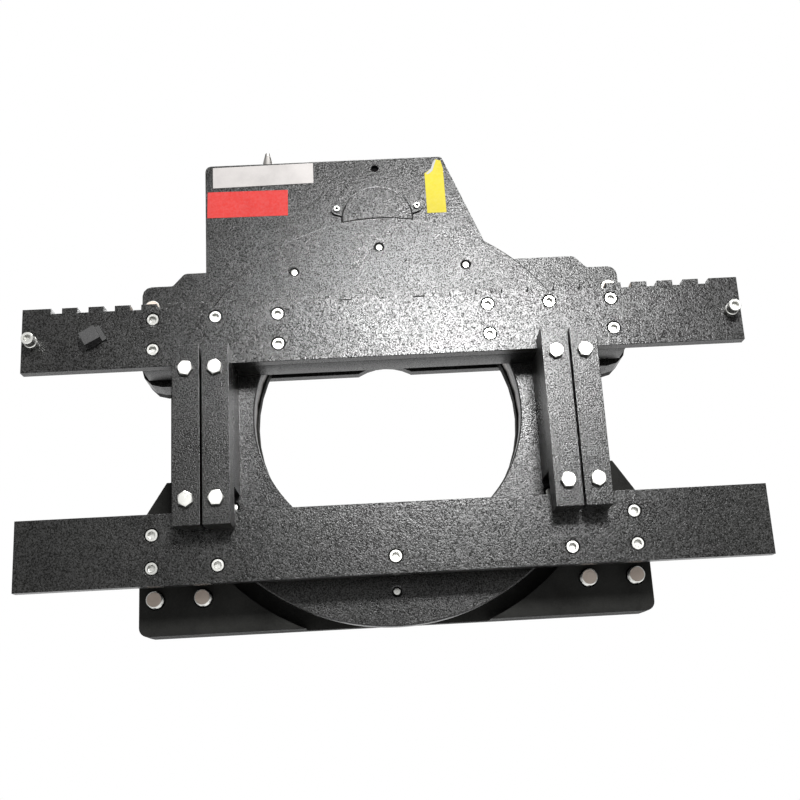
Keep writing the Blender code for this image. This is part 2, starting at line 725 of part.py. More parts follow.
def make_slewing_ring():
    front = RING_FRONT - INNER_RING_LIP
    race = race_profile(INNER_RING_R, -1)
    profile = [(INNER_RING_R, front)] + race + [(INNER_RING_R, RING_REAR)]
    profile += [(INNER_RING_BORE_R, RING_REAR), (INNER_RING_BORE_R, front)]
    bolts = gathered(rod(BASE_BOLT_R, BASE_REAR, RING_REAR + MM, SHANK_STEPS), corners(base_bolt_spots()))
    solid("slewing_inner_ring", combined(turned(profile, RACE_STEPS), bolts, "UNION"), steel, frame)

    outline = gear_outline(GEAR_MODULE, RING_TEETH, GEAR_BACKLASH, pi / 2)
    ring_spots = polar(RING_BOLT_CIRCLE_R, RING_BOLT_COUNT, pi / 2)
    bolt = rod(RING_BOLT_R, RING_FRONT - MM, DISC_FRONT - RING_BOLT_RECESS, HEAD_STEPS)
    gear = plate([outline], GEAR_RING_T, GEAR_REAR)
    gear = combined(gear, gathered(bolt, corners(ring_spots)), "UNION")
    ring = solid("slewing_gear_ring", gear, steel, rotor)
    cutter = [(0, RING_FRONT + MM), (RING_BORE_R, RING_FRONT + MM)] + race_profile(RING_BORE_R, 1)
    cutter += [(RING_BORE_R, GEAR_REAR - MM), (0, GEAR_REAR - MM)]
    cut(ring, turned(cutter, RACE_STEPS))

    work = bmesh.new()
    bmesh.ops.create_icosphere(work, subdivisions=1, radius=BALL_R)
    ball = bpy.data.meshes.new("ball")
    work.to_mesh(ball)
    work.free()
    places = [(x, y, RACE_LEVEL) for x, y in polar(BALL_CIRCLE_R, BALL_COUNT)]
    inner = (BALL_CIRCLE_R - CAGE_T / 2) * cos(pi / BALL_COUNT)
    outer = BALL_CIRCLE_R + CAGE_T / 2
    cage = ring_mesh(inner, outer, RACE_LEVEL - CAGE_W / 2, RACE_LEVEL + CAGE_W / 2, BALL_COUNT)
    solid("ball_cage", combined(gathered(ball, places), cage, "UNION"), steel, ball_set)


def make_rotor_disc():
    spots = polar(RING_BOLT_CIRCLE_R, RING_BOLT_COUNT, pi / 2)
    holes = [bore(RING_BOLT_R + FIT, HEAD_STEPS, spot) for spot in spots]
    window = [(x, min(y, DISC_WINDOW_TOP)) for x, y in circle(WINDOW_R, RIM_STEPS)]
    shape = [circle(DISC_R, RIM_STEPS), window] + holes
    solid("rotor_disc", plate(shape, DISC_T, DISC_REAR), black, rotor)


def notched_top(top):
    """Points along the upper fork bar's top edge, from right to left."""
    half = NOTCH_W / 2
    right = []
    for i in reversed(range(NOTCH_COUNT)):
        middle = NOTCH_FIRST + i * NOTCH_PITCH
        right += [(middle + half, top), (middle + half, top - NOTCH_D)]
        right += [(middle - half, top - NOTCH_D), (middle - half, top)]
    left = [(-x, y) for x, y in reversed(right)]
    return right + arc(CENTRE_NOTCH_R, 2 * pi, pi, 8, (0, top)) + left


def screw_spots():
    last = SPACER_W / 2 - SCREW_FROM_END
    columns = [last - i * SCREW_PITCH for i in reversed(range(SCREW_COLUMNS))]
    upper_row = UPPER_BAR_LOW + UPPER_SCREW_FROM_EDGE
    inner = [(side * x, upper_row) for side in (-1, 1) for x in (columns[0], columns[-1])]
    upper = inner + [(side * x, SCREW_OUTER_ROW) for side in (-1, 1) for x in columns]
    lower = [(side * columns[-1], LOWER_BAR_HIGH - LOWER_SCREW_FROM_EDGE) for side in (-1, 1)]
    lower += [(side * x, -SCREW_OUTER_ROW) for side in (-1, 1) for x in columns[1:]]
    lower += [(0, -SCREW_OUTER_ROW)]
    return upper, lower


def make_fork_bars():
    half_w = CARRIAGE_W / 2
    half_h = CARRIAGE_H / 2
    spacer_half = SPACER_W / 2
    upper_low = UPPER_BAR_LOW
    lower_high = LOWER_BAR_HIGH
    upper_spots, lower_spots = screw_spots()
    bores = SCREW_R + FIT

    upper_shape = [(half_w, upper_low), (half_w, half_h)] + notched_top(half_h)
    upper_shape += [(-half_w, half_h), (-half_w, upper_low)]
    fixings = upper_spots + [(side * STOP_X, STOP_HEIGHT) for side in (-1, 1)]
    holes = [bore(bores, SHANK_STEPS, spot) for spot in fixings]
    holes.append(bore(PLUG_STEM_R + FIT, SHANK_STEPS, (PLUG_X, PLUG_HEIGHT)))
    upper = solid("upper_fork_bar", plate([upper_shape] + holes, FORK_BAR_T, FORK_REAR), black, carriage)
    lower_shape = [(half_w, -half_h), (half_w, lower_high), (-half_w, lower_high), (-half_w, -half_h)]
    holes = [bore(bores, SHANK_STEPS, spot) for spot in lower_spots]
    lower = solid("lower_fork_bar", plate([lower_shape] + holes, FORK_BAR_T, FORK_REAR), black, carriage)

    floor = FORK_FRONT - SCREW_HEAD_T - FIT
    screw = rod(SCREW_HEAD_R, floor, FORK_FRONT - FIT, HEAD_STEPS)
    screw = combined(screw, rod(SCREW_R, SPACER_FRONT - MM, floor + MM, SHANK_STEPS), "UNION")
    for side, bar, spots in ((1, upper, upper_spots), (-1, lower, lower_spots)):
        cut(bar, rods(COUNTERBORE_R, floor - FIT, FORK_FRONT + MM, HEAD_STEPS, spots))
        inner = upper_low if side > 0 else lower_high
        outer = side * (half_h - HOOK_ROOM)
        low, high = sorted((inner, outer))
        shape = [(-spacer_half, low), (spacer_half, low), (spacer_half, high), (-spacer_half, high)]
        screws = gathered(screw, corners(spots))
        spacer = combined(plate([shape], SPACER_T, SPACER_REAR), screws, "UNION")
        name = "upper_bar_spacer" if side > 0 else "lower_bar_spacer"
        solid(name, spacer, black, carriage)


def make_tie_bars():
    pair_w = 2 * TIE_BAR_W + TIE_BAR_GAP
    middle_y = -TIE_BARS_BELOW_CENTRE
    lifts = (-TIE_BOLT_PITCH / 2, TIE_BOLT_PITCH / 2)
    columns = [TIE_BAR_INNER_X + TIE_BAR_W * (i + 0.5) + TIE_BAR_GAP * i for i in range(2)]
    bolt_tip = TIE_REAR - TIE_BOLT_REACH
    head = plate([circle(TIE_BOLT_FLATS / sqrt(3), 6)], TIE_BOLT_HEAD_T, TIE_FRONT + FIT)
    shank = rod(TIE_BOLT_R, bolt_tip, TIE_FRONT + TIE_BOLT_HEAD_T / 2, SHANK_STEPS)
    bolt = combined(head, shank, "UNION")
    for side, word in ((-1, "left"), (1, "right")):
        spots = [(side * x, middle_y + lift) for x in columns for lift in lifts]
        low_x, high_x = sorted((side * TIE_BAR_INNER_X, side * (TIE_BAR_INNER_X + pair_w)))
        low_y = LOWER_BAR_HIGH + RAIL_END_GAP
        high_y = UPPER_BAR_LOW - RAIL_END_GAP
        inner_x = side * TIE_BAR_INNER_X
        outer_x = side * (TIE_BAR_INNER_X + pair_w)
        relief_x = inner_x + side * RAIL_RELIEF_W
        relief_y = low_y + RAIL_RELIEF_H
        shape = [(outer_x, low_y), (outer_x, high_y), (inner_x, high_y), (inner_x, relief_y)]
        shape += [(relief_x, relief_y), (relief_x, low_y)]
        rail = solid(word + "_rail", plate([shape], FORK_FRONT - SPACER_REAR, SPACER_REAR), black, carriage)
        cut(rail, rods(TIE_BOLT_R + FIT, bolt_tip - MM, FORK_FRONT + MM, SHANK_STEPS, spots))
        for place, x in zip(("inner", "outer"), columns):
            left_edge = side * x - TIE_BAR_W / 2
            low = middle_y - TIE_BAR_L / 2
            bar = box((left_edge, low, TIE_REAR), (left_edge + TIE_BAR_W, low + TIE_BAR_L, TIE_FRONT))
            thing = solid(word + "_" + place + "_tie_bar", bar, black, carriage)
            bores = [spot for spot in spots if abs(spot[0] - side * x) < MM]
            cut(thing, rods(TIE_BOLT_R + FIT, TIE_REAR - MM, TIE_FRONT + MM, SHANK_STEPS, bores))
        for i, (x, y) in enumerate(spots):
            place = Matrix.Translation((x, y, 0)) @ Matrix.Rotation(BOLT_TURN * i, 4, "Z")
            solid(word + "_tie_bolt_" + str(i + 1), gathered(bolt, [place]), zinc, carriage)


def make_end_stops():
    collar_top = FORK_FRONT + FIT + STOP_STANDOFF
    top = collar_top + SCREW_HEAD_T
    screw = cap_screw(SCREW_R, SCREW_HEAD_R, SCREW_HEAD_T, top - SCREW_HEAD_T - FORK_REAR)
    collar = rod(STOP_COLLAR_R, FORK_FRONT + FIT, collar_top - STOP_NECK, HEAD_STEPS)
    stop = combined(moved(screw, (0, 0, top)), collar, "UNION")
    for side, name in ((-1, "left_end_stop"), (1, "right_end_stop")):
        solid(name, gathered(stop, [(0, 0, 0)]), zinc, carriage, (side * STOP_X, STOP_HEIGHT, 0))


def make_plug():
    rear = FORK_FRONT + FIT
    half_w = PLUG_W / 2
    half_h = PLUG_H / 2
    flange = [(-half_w - PLUG_FLANGE, -half_h), (half_w + PLUG_FLANGE, -half_h)]
    flange += [(half_w + PLUG_FLANGE, half_h), (-half_w - PLUG_FLANGE, half_h)]
    body = plate([flange], PLUG_FLANGE, rear)
    core_high = (half_w - PLUG_FLANGE, half_h - PLUG_FLANGE, rear + PLUG_T)
    core = box((-half_w, -half_h + FIT, rear + PLUG_FLANGE / 2), core_high)
    body = combined(body, core, "UNION")
    for i in range(3):
        edge = half_w - PLUG_FLANGE - (i + 1) * 2 * PLUG_FLANGE
        rib_low = (edge, 0, rear + PLUG_T / 2)
        rib_high = (edge + PLUG_FLANGE, half_h - PLUG_FLANGE / 2, rear + PLUG_T - PLUG_FLANGE)
        body = combined(body, box(rib_low, rib_high), "UNION")
    stem = rod(PLUG_STEM_R, rear - PLUG_STEM_L, rear + PLUG_FLANGE, SHANK_STEPS)
    body = combined(body, stem, "UNION")
    solid("plastic_plug", body, plastic, carriage, (PLUG_X, PLUG_HEIGHT, 0), (0, 0, PLUG_TURN))


def hook_profile(points, width):
    """A hook outline of (forward, up) points with its width across x."""
    mesh = plate([points], width, -width / 2)
    mesh.transform(Matrix.Rotation(-pi / 2, 4, "Y"))
    return mesh


def make_hooks():
    upper_studs, lower_studs = stud_spots()
    room = -HOOK_LIP_REACH + HOOK_LIP_T
    edge = HOOK_CHAMFER
    upper = [(HOOK_BAR_T, HOOK_BOTTOM), (HOOK_BAR_T, HOOK_TOP), (edge - HOOK_LIP_REACH, HOOK_TOP)]
    upper += [(-HOOK_LIP_REACH, HOOK_TOP - edge), (-HOOK_LIP_REACH, HOOK_SEAT - HOOK_LIP_DROP)]
    upper += [(room, HOOK_SEAT - HOOK_LIP_DROP), (room, HOOK_SEAT), (0, HOOK_SEAT), (0, HOOK_BOTTOM)]
    bar = solid("upper_hook_bar", hook_profile(upper, 2 * EAR_X), black, frame)
    relief_y = HOOK_BOTTOM + RELIEF_D - RELIEF_R
    relief = moved(rod(RELIEF_R, -MM, HOOK_BAR_T + MM, RACE_STEPS), (0, relief_y, 0))
    stud_holes = rods(STUD_R + FIT, -HOOK_LIP_REACH - MM, HOOK_BAR_T + MM, STUD_STEPS, upper_studs)
    seat_low = (-LUG_W / 2 - FIT, HOOK_SEAT - LUG_H - FIT, room)
    lug_seat = box(seat_low, (LUG_W / 2 + FIT, HOOK_SEAT + LUG_KEY, LUG_KEY))
    cut(bar, joined([relief, stud_holes, lug_seat]))
    lug_low = (-LUG_W / 2, HOOK_SEAT - LUG_H, room + FIT)
    lug = box(lug_low, (LUG_W / 2, HOOK_SEAT + LUG_KEY - FIT, LUG_KEY - FIT))
    solid("locating_lug", lug, steel, frame)

    lip_top = CLAW_TOP + HOOK_LIP_DROP
    claw = [(HOOK_BAR_T, FOOT_BOTTOM), (HOOK_BAR_T, LOWER_HOOK_TOP), (0, LOWER_HOOK_TOP), (0, CLAW_TOP)]
    claw += [(room, CLAW_TOP), (room, lip_top), (-HOOK_LIP_REACH, lip_top)]
    claw += [(-HOOK_LIP_REACH, FOOT_BOTTOM + edge), (edge - HOOK_LIP_REACH, FOOT_BOTTOM)]
    for side, name in ((-1, "lower_left_hook"), (1, "lower_right_hook")):
        hook = solid(name, hook_profile(claw, LOWER_HOOK_W), black, frame, (side * LOWER_STUD_X, 0, 0))
        spots = [(x - side * LOWER_STUD_X, y) for x, y in lower_studs if x * side > 0]
        cut(hook, rods(STUD_R + FIT, -HOOK_LIP_REACH - MM, HOOK_BAR_T + MM, STUD_STEPS, spots))

    head_top = -HOOK_LIP_REACH - FIT
    tip = RING_FRONT + STUD_PROUD
    head = plate([circle(STUD_HEAD_R, 6)], STUD_HEAD_T, head_top - STUD_HEAD_T)
    profile = [(0, tip), (STUD_R - STUD_TIP, tip), (STUD_R, tip - STUD_TIP)]
    profile += [(STUD_R, head_top - STUD_HEAD_T / 2), (0, head_top - STUD_HEAD_T / 2)]
    stud = combined(head, turned(profile, STUD_STEPS), "UNION")
    for side, word in ((-1, "left"), (1, "right")):
        spots = sorted(spot for spot in lower_studs if spot[0] * side > 0)
        names = ["lower_" + word + "_stud_a", "lower_" + word + "_stud_b", "upper_" + word + "_stud"]
        spots.append(next(spot for spot in upper_studs if spot[0] * side > 0))
        for name, (x, y) in zip(names, spots):
            solid(name, gathered(stud, [(x, y, 0)]), zinc, frame)


def along_x(mesh, place):
    """A mesh made about z, laid along x."""
    return moved(mesh, place, Matrix.Rotation(pi / 2, 4, "Y"))


def make_worm_case():
    low_y = PINION_Y - CASE_BELOW_PINION
    high_y = WORM_Y + CASE_ABOVE_WORM
    wall = CASE_WALL
    shell = box((-CASE_HALF_W, low_y, CASE_REAR), (CASE_HALF_W, high_y, CASE_FRONT))
    inner_w = CASE_HALF_W - wall
    room = box((-inner_w, low_y + wall, CASE_REAR - wall), (inner_w, high_y - wall, CASE_FRONT - wall))
    shell = combined(shell, room)
    case = solid("worm_case", shell, black, frame)
    wall_hole = (CASE_FRONT - 2 * wall, CASE_FRONT + wall)
    shaft_hole = rods(PINION_SHAFT_R + MM, *wall_hole, HEAD_STEPS, [(0, PINION_Y)])
    seats = rods(WORM_BEARING_R + FIT, -CASE_HALF_W - wall, CASE_HALF_W + wall, HEAD_STEPS, [(0, 0)])
    seats = along_x(seats, (0, WORM_Y, WHEEL_Z))
    half_w = CASE_HALF_W - wall / 2
    screw_xy = [(x, y) for x in (-half_w, half_w) for y in (low_y + wall / 2, PINION_Y, high_y - wall / 2)]
    cut(case, joined([shaft_hole, seats]))

    pocket = PINION_BEARING_R - 5 * MM
    cover_face = CASE_REAR - FIT
    lid_t = CASE_COVER_T + BEARING_W
    lid = box((-CASE_HALF_W, low_y, cover_face - lid_t), (CASE_HALF_W, high_y, cover_face))
    screw_l = cover_face - lid_t - CASE_SCREW_HEAD_T
    head = rod(CASE_SCREW_HEAD_R, screw_l, screw_l + CASE_SCREW_HEAD_T + MM, HEAD_STEPS)
    screws = gathered(head, corners(screw_xy))
    cover = solid("worm_case_cover", combined(lid, screws, "UNION"), black, frame)
    cut(cover, rods(pocket + FIT, cover_face - BEARING_W - FIT, cover_face + MM, HEAD_STEPS, [(0, PINION_Y)]))
    journal = WORM_JOURNAL_R + 2 * MM
    rear_ring = ring_mesh(journal + FIT, pocket, cover_face - BEARING_W, cover_face, HEAD_STEPS)
    solid("pinion_rear_bearing", moved(rear_ring, (0, PINION_Y, 0)), steel, frame)
    levels = (BASE_REAR + FIT, BASE_FRONT - MM)
    front_ring = ring_mesh(PINION_SHAFT_R + FIT, PINION_BEARING_R, *levels, SHAFT_STEPS)
    solid("pinion_front_bearing", moved(front_ring, (0, PINION_Y, 0)), steel, frame)
    bearing_low = CASE_HALF_W - wall
    for side, name in ((-1, "worm_left_bearing"), (1, "worm_right_bearing")):
        ring = ring_mesh(WORM_JOURNAL_R + FIT, WORM_BEARING_R, bearing_low, CASE_HALF_W, HEAD_STEPS)
        turn = Matrix.Rotation(side * pi / 2, 4, "Y")
        solid(name, moved(ring, (0, WORM_Y, WHEEL_Z), turn), steel, frame)
    cap = rod(WORM_BEARING_R + wall / 2, CASE_HALF_W + FIT, CASE_HALF_W + wall / 2, SHAFT_STEPS)
    solid("worm_end_cap", along_x(cap, (0, WORM_Y, WHEEL_Z)), black, frame)


def make_motor():
    centre = (0, WORM_Y, WHEEL_Z)
    face = -MOTOR_FACE_X
    shape = lobed(MOTOR_R + 0.5 * MM, MOTOR_EAR_R, MOTOR_FLANGE_R)
    shaft_hole = bore(WORM_JOURNAL_R + MM, HEAD_STEPS)
    flange = plate([shape, shaft_hole], MOTOR_FLANGE_T, face)
    heads = [(0, y, face + MOTOR_FLANGE_T - MM) for y in (-MOTOR_FLANGE_R, MOTOR_FLANGE_R)]
    head = rod(CASE_SCREW_HEAD_R, 0, CASE_SCREW_HEAD_T + MM, HEAD_STEPS)
    flange = combined(flange, gathered(head, heads), "UNION")
    flange.transform(Matrix.Rotation(MOTOR_FLANGE_TURN, 4, "Z"))
    lay = Matrix.Rotation(-pi / 2, 4, "Y")
    solid("motor_flange", moved(flange, centre, lay), cast, frame)
    body_low = face + MOTOR_FLANGE_T + FIT
    socket_r = WORM_JOURNAL_R + MM
    socket_end = body_low + MOTOR_CAP_L
    profile = [(0, body_low + MOTOR_L), (MOTOR_R, body_low + MOTOR_L), (MOTOR_R, body_low)]
    profile += [(socket_r, body_low), (socket_r, socket_end), (0, socket_end)]
    solid("hydraulic_motor", moved(turned(profile, SHAFT_STEPS), centre, lay), cast, frame)
    cap_low = body_low + MOTOR_L + FIT
    cap = rod(MOTOR_R, cap_low, cap_low + MOTOR_CAP_L, SHAFT_STEPS)
    solid("motor_end_cap", moved(cap, centre, lay), cast, frame)
    block_low = WORM_Y + MOTOR_R - 2 * MM
    half_w = PORT_BLOCK_W / 2
    half_l = PORT_BLOCK_L / 2
    block_top = block_low + PORT_BLOCK_H
    corner = (PORT_X - half_w, block_low - PORT_NUT_H, WHEEL_Z - half_l)
    block = box(corner, (PORT_X + half_w, block_top, WHEEL_Z + half_l))
    saddle = rod(MOTOR_R + FIT, -PORT_BLOCK_W, PORT_BLOCK_W, SHAFT_STEPS)
    saddle = along_x(saddle, (PORT_X, WORM_Y, WHEEL_Z))
    solid("motor_port_block", combined(block, saddle), cast, frame)
    foot = block_top + FIT
    nut = plate([circle(PORT_NUT_R, 6)], PORT_NUT_H, foot)
    stem = rod(PORT_R, foot + PORT_NUT_H / 2, PORT_TOP, HEAD_STEPS)
    adapter = combined(nut, stem, "UNION")
    upright = Matrix.Rotation(-pi / 2, 4, "X")
    adapter.transform(upright)
    for side, word in ((-1, "rear"), (1, "front")):
        place = (PORT_X, 0, WHEEL_Z + side * PORT_PITCH / 2)
        solid(word + "_port_adapter", gathered(adapter, [place]), zinc, frame)


def worm_thread():
    """A trapezoid thread swept along a right-handed helix about z."""
    root = WORM_CORE_R - MM
    tip = WORM_PITCH_R + 0.85 * WORM_MODULE
    wide = WORM_THREAD_R + 0.2 * MM
    thin = WORM_THREAD_R / 2
    start = -WORM_LEAD * (WORM_TURNS / 2 + 0.25)
    points = [(root, 0, start - wide), (tip, 0, start - thin), (tip, 0, start + thin)]
    points.append((root, 0, start + wide))
    mesh = bpy.data.meshes.new("thread")
    mesh.from_pydata(points, [(0, 1), (1, 2), (2, 3), (3, 0)], [])
    thing = temporary("thread", mesh)
    screw = thing.modifiers.new("helix", "SCREW")
    screw.screw_offset = WORM_LEAD
    screw.iterations = WORM_TURNS
    screw.steps = STUD_STEPS
    screw.render_steps = STUD_STEPS
    mesh = evaluated_mesh(thing)
    work = bmesh.new()
    work.from_mesh(mesh)
    rims = [edge for edge in work.edges if edge.is_boundary]
    bmesh.ops.holes_fill(work, edges=rims, sides=4)
    face_outward(work)
    work.to_mesh(mesh)
    work.free()
    return mesh


def make_worm():
    core_half = WORM_LEAD * (WORM_TURNS / 2 + 1)
    far = CASE_HALF_W - MM
    near = -CASE_HALF_W - MOTOR_FLANGE_T - MOTOR_CAP_L + 2 * MM
    journal = WORM_JOURNAL_R
    profile = [(0, far), (journal, far), (journal, core_half), (WORM_CORE_R, core_half)]
    profile += [(WORM_CORE_R, -core_half), (journal, -core_half), (journal, near), (0, near)]
    worm = combined(turned(profile, STUD_STEPS), worm_thread(), "UNION")
    solid("worm", worm, steel, worm_axis, turn=(0, pi / 2, 0))


def make_pinion():
    front = RING_FRONT - INNER_RING_LIP
    rear = front - PINION_T
    journal = WORM_JOURNAL_R + 2 * MM
    shoulder = WHEEL_Z + WHEEL_T / 2 + FIT
    tail = CASE_REAR - FIT - BEARING_W + MM
    first_tooth = -pi / 2 + pi / PINION_TEETH
    outline = gear_outline(GEAR_MODULE, PINION_TEETH, GEAR_BACKLASH, first_tooth, 2)
    gear = plate([outline], PINION_T, rear)
    profile = [(0, rear + MM), (PINION_SHAFT_R, rear + MM), (PINION_SHAFT_R, shoulder)]
    profile += [(journal, shoulder), (journal, tail), (0, tail)]
    solid("pinion", combined(gear, turned(profile, SHAFT_STEPS), "UNION"), steel, pinion_axis)

    wheel_outline = gear_outline(WORM_MODULE, WHEEL_TEETH, WHEEL_BACKLASH, pi / 2 + pi / WHEEL_TEETH)
    wheel = plate([wheel_outline, bore(journal + FIT, SHAFT_STEPS)], WHEEL_T, -WHEEL_T / 2)
    lead_slope = WORM_LEAD / (2 * pi * WORM_PITCH_R)
    for vertex in wheel.vertices:
        lean = vertex.co.z * lead_slope / WHEEL_PITCH_R
        vertex.co = Matrix.Rotation(lean, 3, "Z") @ vertex.co
    solid("worm_wheel", wheel, bronze, pinion_axis, (0, 0, WHEEL_Z))


clear_scene()
parts = new_collection("forklift_rotator")
cutters = new_collection("cutters")

black = finish("black_paint", (0.02, 0.02, 0.018), 0.5, 0.0)
zinc = finish("zinc_fastener", (0.75, 0.75, 0.72), 0.3, 1.0)
steel = finish("bare_steel", (0.45, 0.45, 0.46), 0.35, 1.0)
cast = finish("cast_iron", (0.12, 0.12, 0.12), 0.6, 0.6)
bronze = finish("wheel_bronze", (0.5, 0.33, 0.12), 0.35, 1.0)
plastic = finish("black_plastic", (0.03, 0.03, 0.03), 0.45, 0.0)

frame = axis_empty("fixed_frame", (0, 0, -AXIS_BELOW_ORIGIN), turn=(pi / 2, 0, 0))
rotor = axis_empty("rotor_axis", (0, 0, 0), frame)
carriage = axis_empty("fork_carriage", (0, CARRIAGE_Y, 0), rotor)
ball_set = axis_empty("ball_axis", (0, 0, 0), frame)
pinion_axis = axis_empty("pinion_axis", (0, PINION_Y, 0), frame)
worm_axis = axis_empty("worm_axis", (0, WORM_Y, WHEEL_Z), frame)

make_base_plate()
make_gear_housing()
make_pinion_cover()
make_corner_plates()
make_slewing_ring()
make_rotor_disc()
make_fork_bars()
make_tie_bars()
make_end_stops()
make_plug()
make_hooks()
make_worm_case()
make_motor()
make_worm()
make_pinion()
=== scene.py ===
from math import asin, atan2, cos, pi, radians, sin, sqrt, tan

import bmesh
import bpy
from mathutils import Matrix, Vector


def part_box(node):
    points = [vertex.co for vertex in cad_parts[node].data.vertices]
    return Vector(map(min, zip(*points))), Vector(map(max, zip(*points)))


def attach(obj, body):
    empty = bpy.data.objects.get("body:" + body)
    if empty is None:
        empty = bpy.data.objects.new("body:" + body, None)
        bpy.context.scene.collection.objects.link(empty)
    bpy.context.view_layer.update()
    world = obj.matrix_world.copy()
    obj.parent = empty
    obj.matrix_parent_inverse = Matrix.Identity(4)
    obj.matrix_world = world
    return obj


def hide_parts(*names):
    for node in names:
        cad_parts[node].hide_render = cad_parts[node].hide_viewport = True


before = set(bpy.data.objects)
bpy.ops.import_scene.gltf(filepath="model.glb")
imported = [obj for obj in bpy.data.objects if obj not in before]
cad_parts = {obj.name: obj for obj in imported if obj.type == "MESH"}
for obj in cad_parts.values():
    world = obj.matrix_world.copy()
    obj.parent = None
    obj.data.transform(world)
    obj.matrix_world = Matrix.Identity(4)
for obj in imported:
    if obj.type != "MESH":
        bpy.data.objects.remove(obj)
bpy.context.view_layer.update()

MM = 0.001
AXIS_Z = -0.130
CARRIAGE_DROP = 0.042
SHARP = radians(20)
SIDES = {"left": -1, "right": 1}

# From the local frame (x right, y up from the axis, z forward) to the world; DROP is for the carriage
LAY = Matrix(((1, 0, 0, 0), (0, 0, -1, 0), (0, 1, 0, AXIS_Z), (0, 0, 0, 1)))
DROP = LAY @ Matrix.Translation((0, -CARRIAGE_DROP, 0))


# Places of the CAD nodes
def levels(node):
    """Rear and front of a node along the local z axis."""
    low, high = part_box(node)
    return -high.y, -low.y


def middle(node, level=0):
    """The middle of a node in the local x and y, at a given level."""
    low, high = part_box(node)
    return (low.x + high.x) / 2, (low.z + high.z) / 2 - AXIS_Z, level


# Materials
def texture(tree, kind, scale, detail, roughness):
    """A procedural texture that reads object coordinates, in metres."""
    place = tree.nodes.new("ShaderNodeTexCoord")
    made = tree.nodes.new(kind)
    made.inputs["Scale"].default_value = scale
    made.inputs["Detail"].default_value = detail
    made.inputs["Roughness"].default_value = roughness
    tree.links.new(place.outputs["Object"], made.inputs["Vector"])
    return made.outputs[0]


def ramp(tree, source, stops):
    made = tree.nodes.new("ShaderNodeValToRGB")
    for element, (place, colour) in zip(made.color_ramp.elements, stops):
        element.position = place
        element.color = (*colour, 1)
    tree.links.new(source, made.inputs["Fac"])
    return made.outputs["Color"]


def spread(tree, source, low, high, begin=0.3, end=0.7):
    made = tree.nodes.new("ShaderNodeMapRange")
    for socket, value in (("From Min", begin), ("From Max", end), ("To Min", low), ("To Max", high)):
        made.inputs[socket].default_value = value
    tree.links.new(source, made.inputs["Value"])
    return made.outputs["Result"]


def bump(tree, shader, layers):
    """Bumps laid over each other, each of (height, strength, distance)."""
    last = None
    for height, strength, distance in layers:
        made = tree.nodes.new("ShaderNodeBump")
        made.inputs["Strength"].default_value = strength
        made.inputs["Distance"].default_value = distance
        tree.links.new(height, made.inputs["Height"])
        if last:
            tree.links.new(last, made.inputs["Normal"])
        last = made.outputs["Normal"]
    tree.links.new(last, shader.inputs["Normal"])


def coating(name, dark, light, rough, grain, relief, metallic=0.0, specular=(0.5, 0.5)):
    """Paint, zinc or machined metal with mottled colour, uneven gloss and a fine grain."""
    made = bpy.data.materials.new(name)
    made.use_nodes = True
    tree = made.node_tree
    shader = tree.nodes["Principled BSDF"]
    shader.inputs["Metallic"].default_value = metallic
    cloud = texture(tree, "ShaderNodeTexNoise", 14, 5, 0.6)
    colour = ramp(tree, cloud, [(0.35, dark), (0.7, light)])
    tree.links.new(colour, shader.inputs["Base Color"])
    patches = texture(tree, "ShaderNodeTexNoise", 9, 6, 0.65)
    tree.links.new(spread(tree, patches, *rough), shader.inputs["Roughness"])
    fine = texture(tree, "ShaderNodeTexNoise", grain, 2.5, 0.55)
    tree.links.new(spread(tree, fine, *specular, 0.35, 0.65), shader.inputs["Specular IOR Level"])
    waves = texture(tree, "ShaderNodeTexNoise", grain / 6, 2, 0.5)
    bump(tree, shader, [(waves, relief * 0.3, 0.6 * MM), (fine, relief, 0.3 * MM)])
    return made


PAINT = coating("wrinkle_paint", (0.002, 0.002, 0.0018), (0.005, 0.005, 0.0045),
                rough=(0.25, 0.33), grain=540, relief=1.0, specular=(0.03, 0.52))
LOW_PAINT = coating("shaded_paint", (0.008, 0.008, 0.0075), (0.015, 0.015, 0.014),
                    rough=(0.4, 0.5), grain=540, relief=0.6, specular=(0.0, 0.03))
SMOOTH_PAINT = coating("smooth_paint", (0.003, 0.003, 0.003), (0.007, 0.007, 0.006),
                       rough=(0.36, 0.45), grain=430, relief=0.5, specular=(0.2, 0.4))
ZINC = coating("bright_zinc", (0.34, 0.34, 0.325), (0.5, 0.5, 0.475),
               rough=(0.22, 0.38), grain=900, relief=0.25, metallic=1.0)
STUD_END = coating("stud_end", (0.24, 0.2, 0.17), (0.36, 0.31, 0.27),
                   rough=(0.42, 0.6), grain=900, relief=0.7, metallic=0.7)
# Near-black and almost without gloss: painted shade for gaps, holes and sockets
PAINTED_SHADE = coating("painted_shade_black", (0.002, 0.002, 0.002), (0.004, 0.004, 0.004),
               rough=(0.7, 0.85), grain=500, relief=0.3, specular=(0.01, 0.05))
STEEL = coating("oiled_steel", (0.12, 0.115, 0.11), (0.26, 0.25, 0.24),
                rough=(0.3, 0.5), grain=700, relief=0.3, metallic=1.0)
CAST = coating("cast_iron", (0.03, 0.03, 0.03), (0.07, 0.068, 0.065),
               rough=(0.5, 0.7), grain=380, relief=0.9, metallic=0.5)
BRONZE = coating("worm_bronze", (0.42, 0.24, 0.07), (0.58, 0.36, 0.13),
                 rough=(0.3, 0.45), grain=600, relief=0.2, metallic=1.0)
PLASTIC = coating("moulded_plastic", (0.004, 0.004, 0.004), (0.009, 0.009, 0.009),
                  rough=(0.4, 0.55), grain=900, relief=0.3, specular=(0.3, 0.5))
SILVER = coating("plate_silver", (0.19, 0.181, 0.175), (0.25, 0.238, 0.23),
                 rough=(0.5, 0.6), grain=800, relief=0.15, specular=(0.08, 0.2))
RED = coating("plain_red_sticker", (0.23, 0.013, 0.011), (0.27, 0.018, 0.015),
              rough=(0.55, 0.65), grain=300, relief=0.05, specular=(0.08, 0.2))
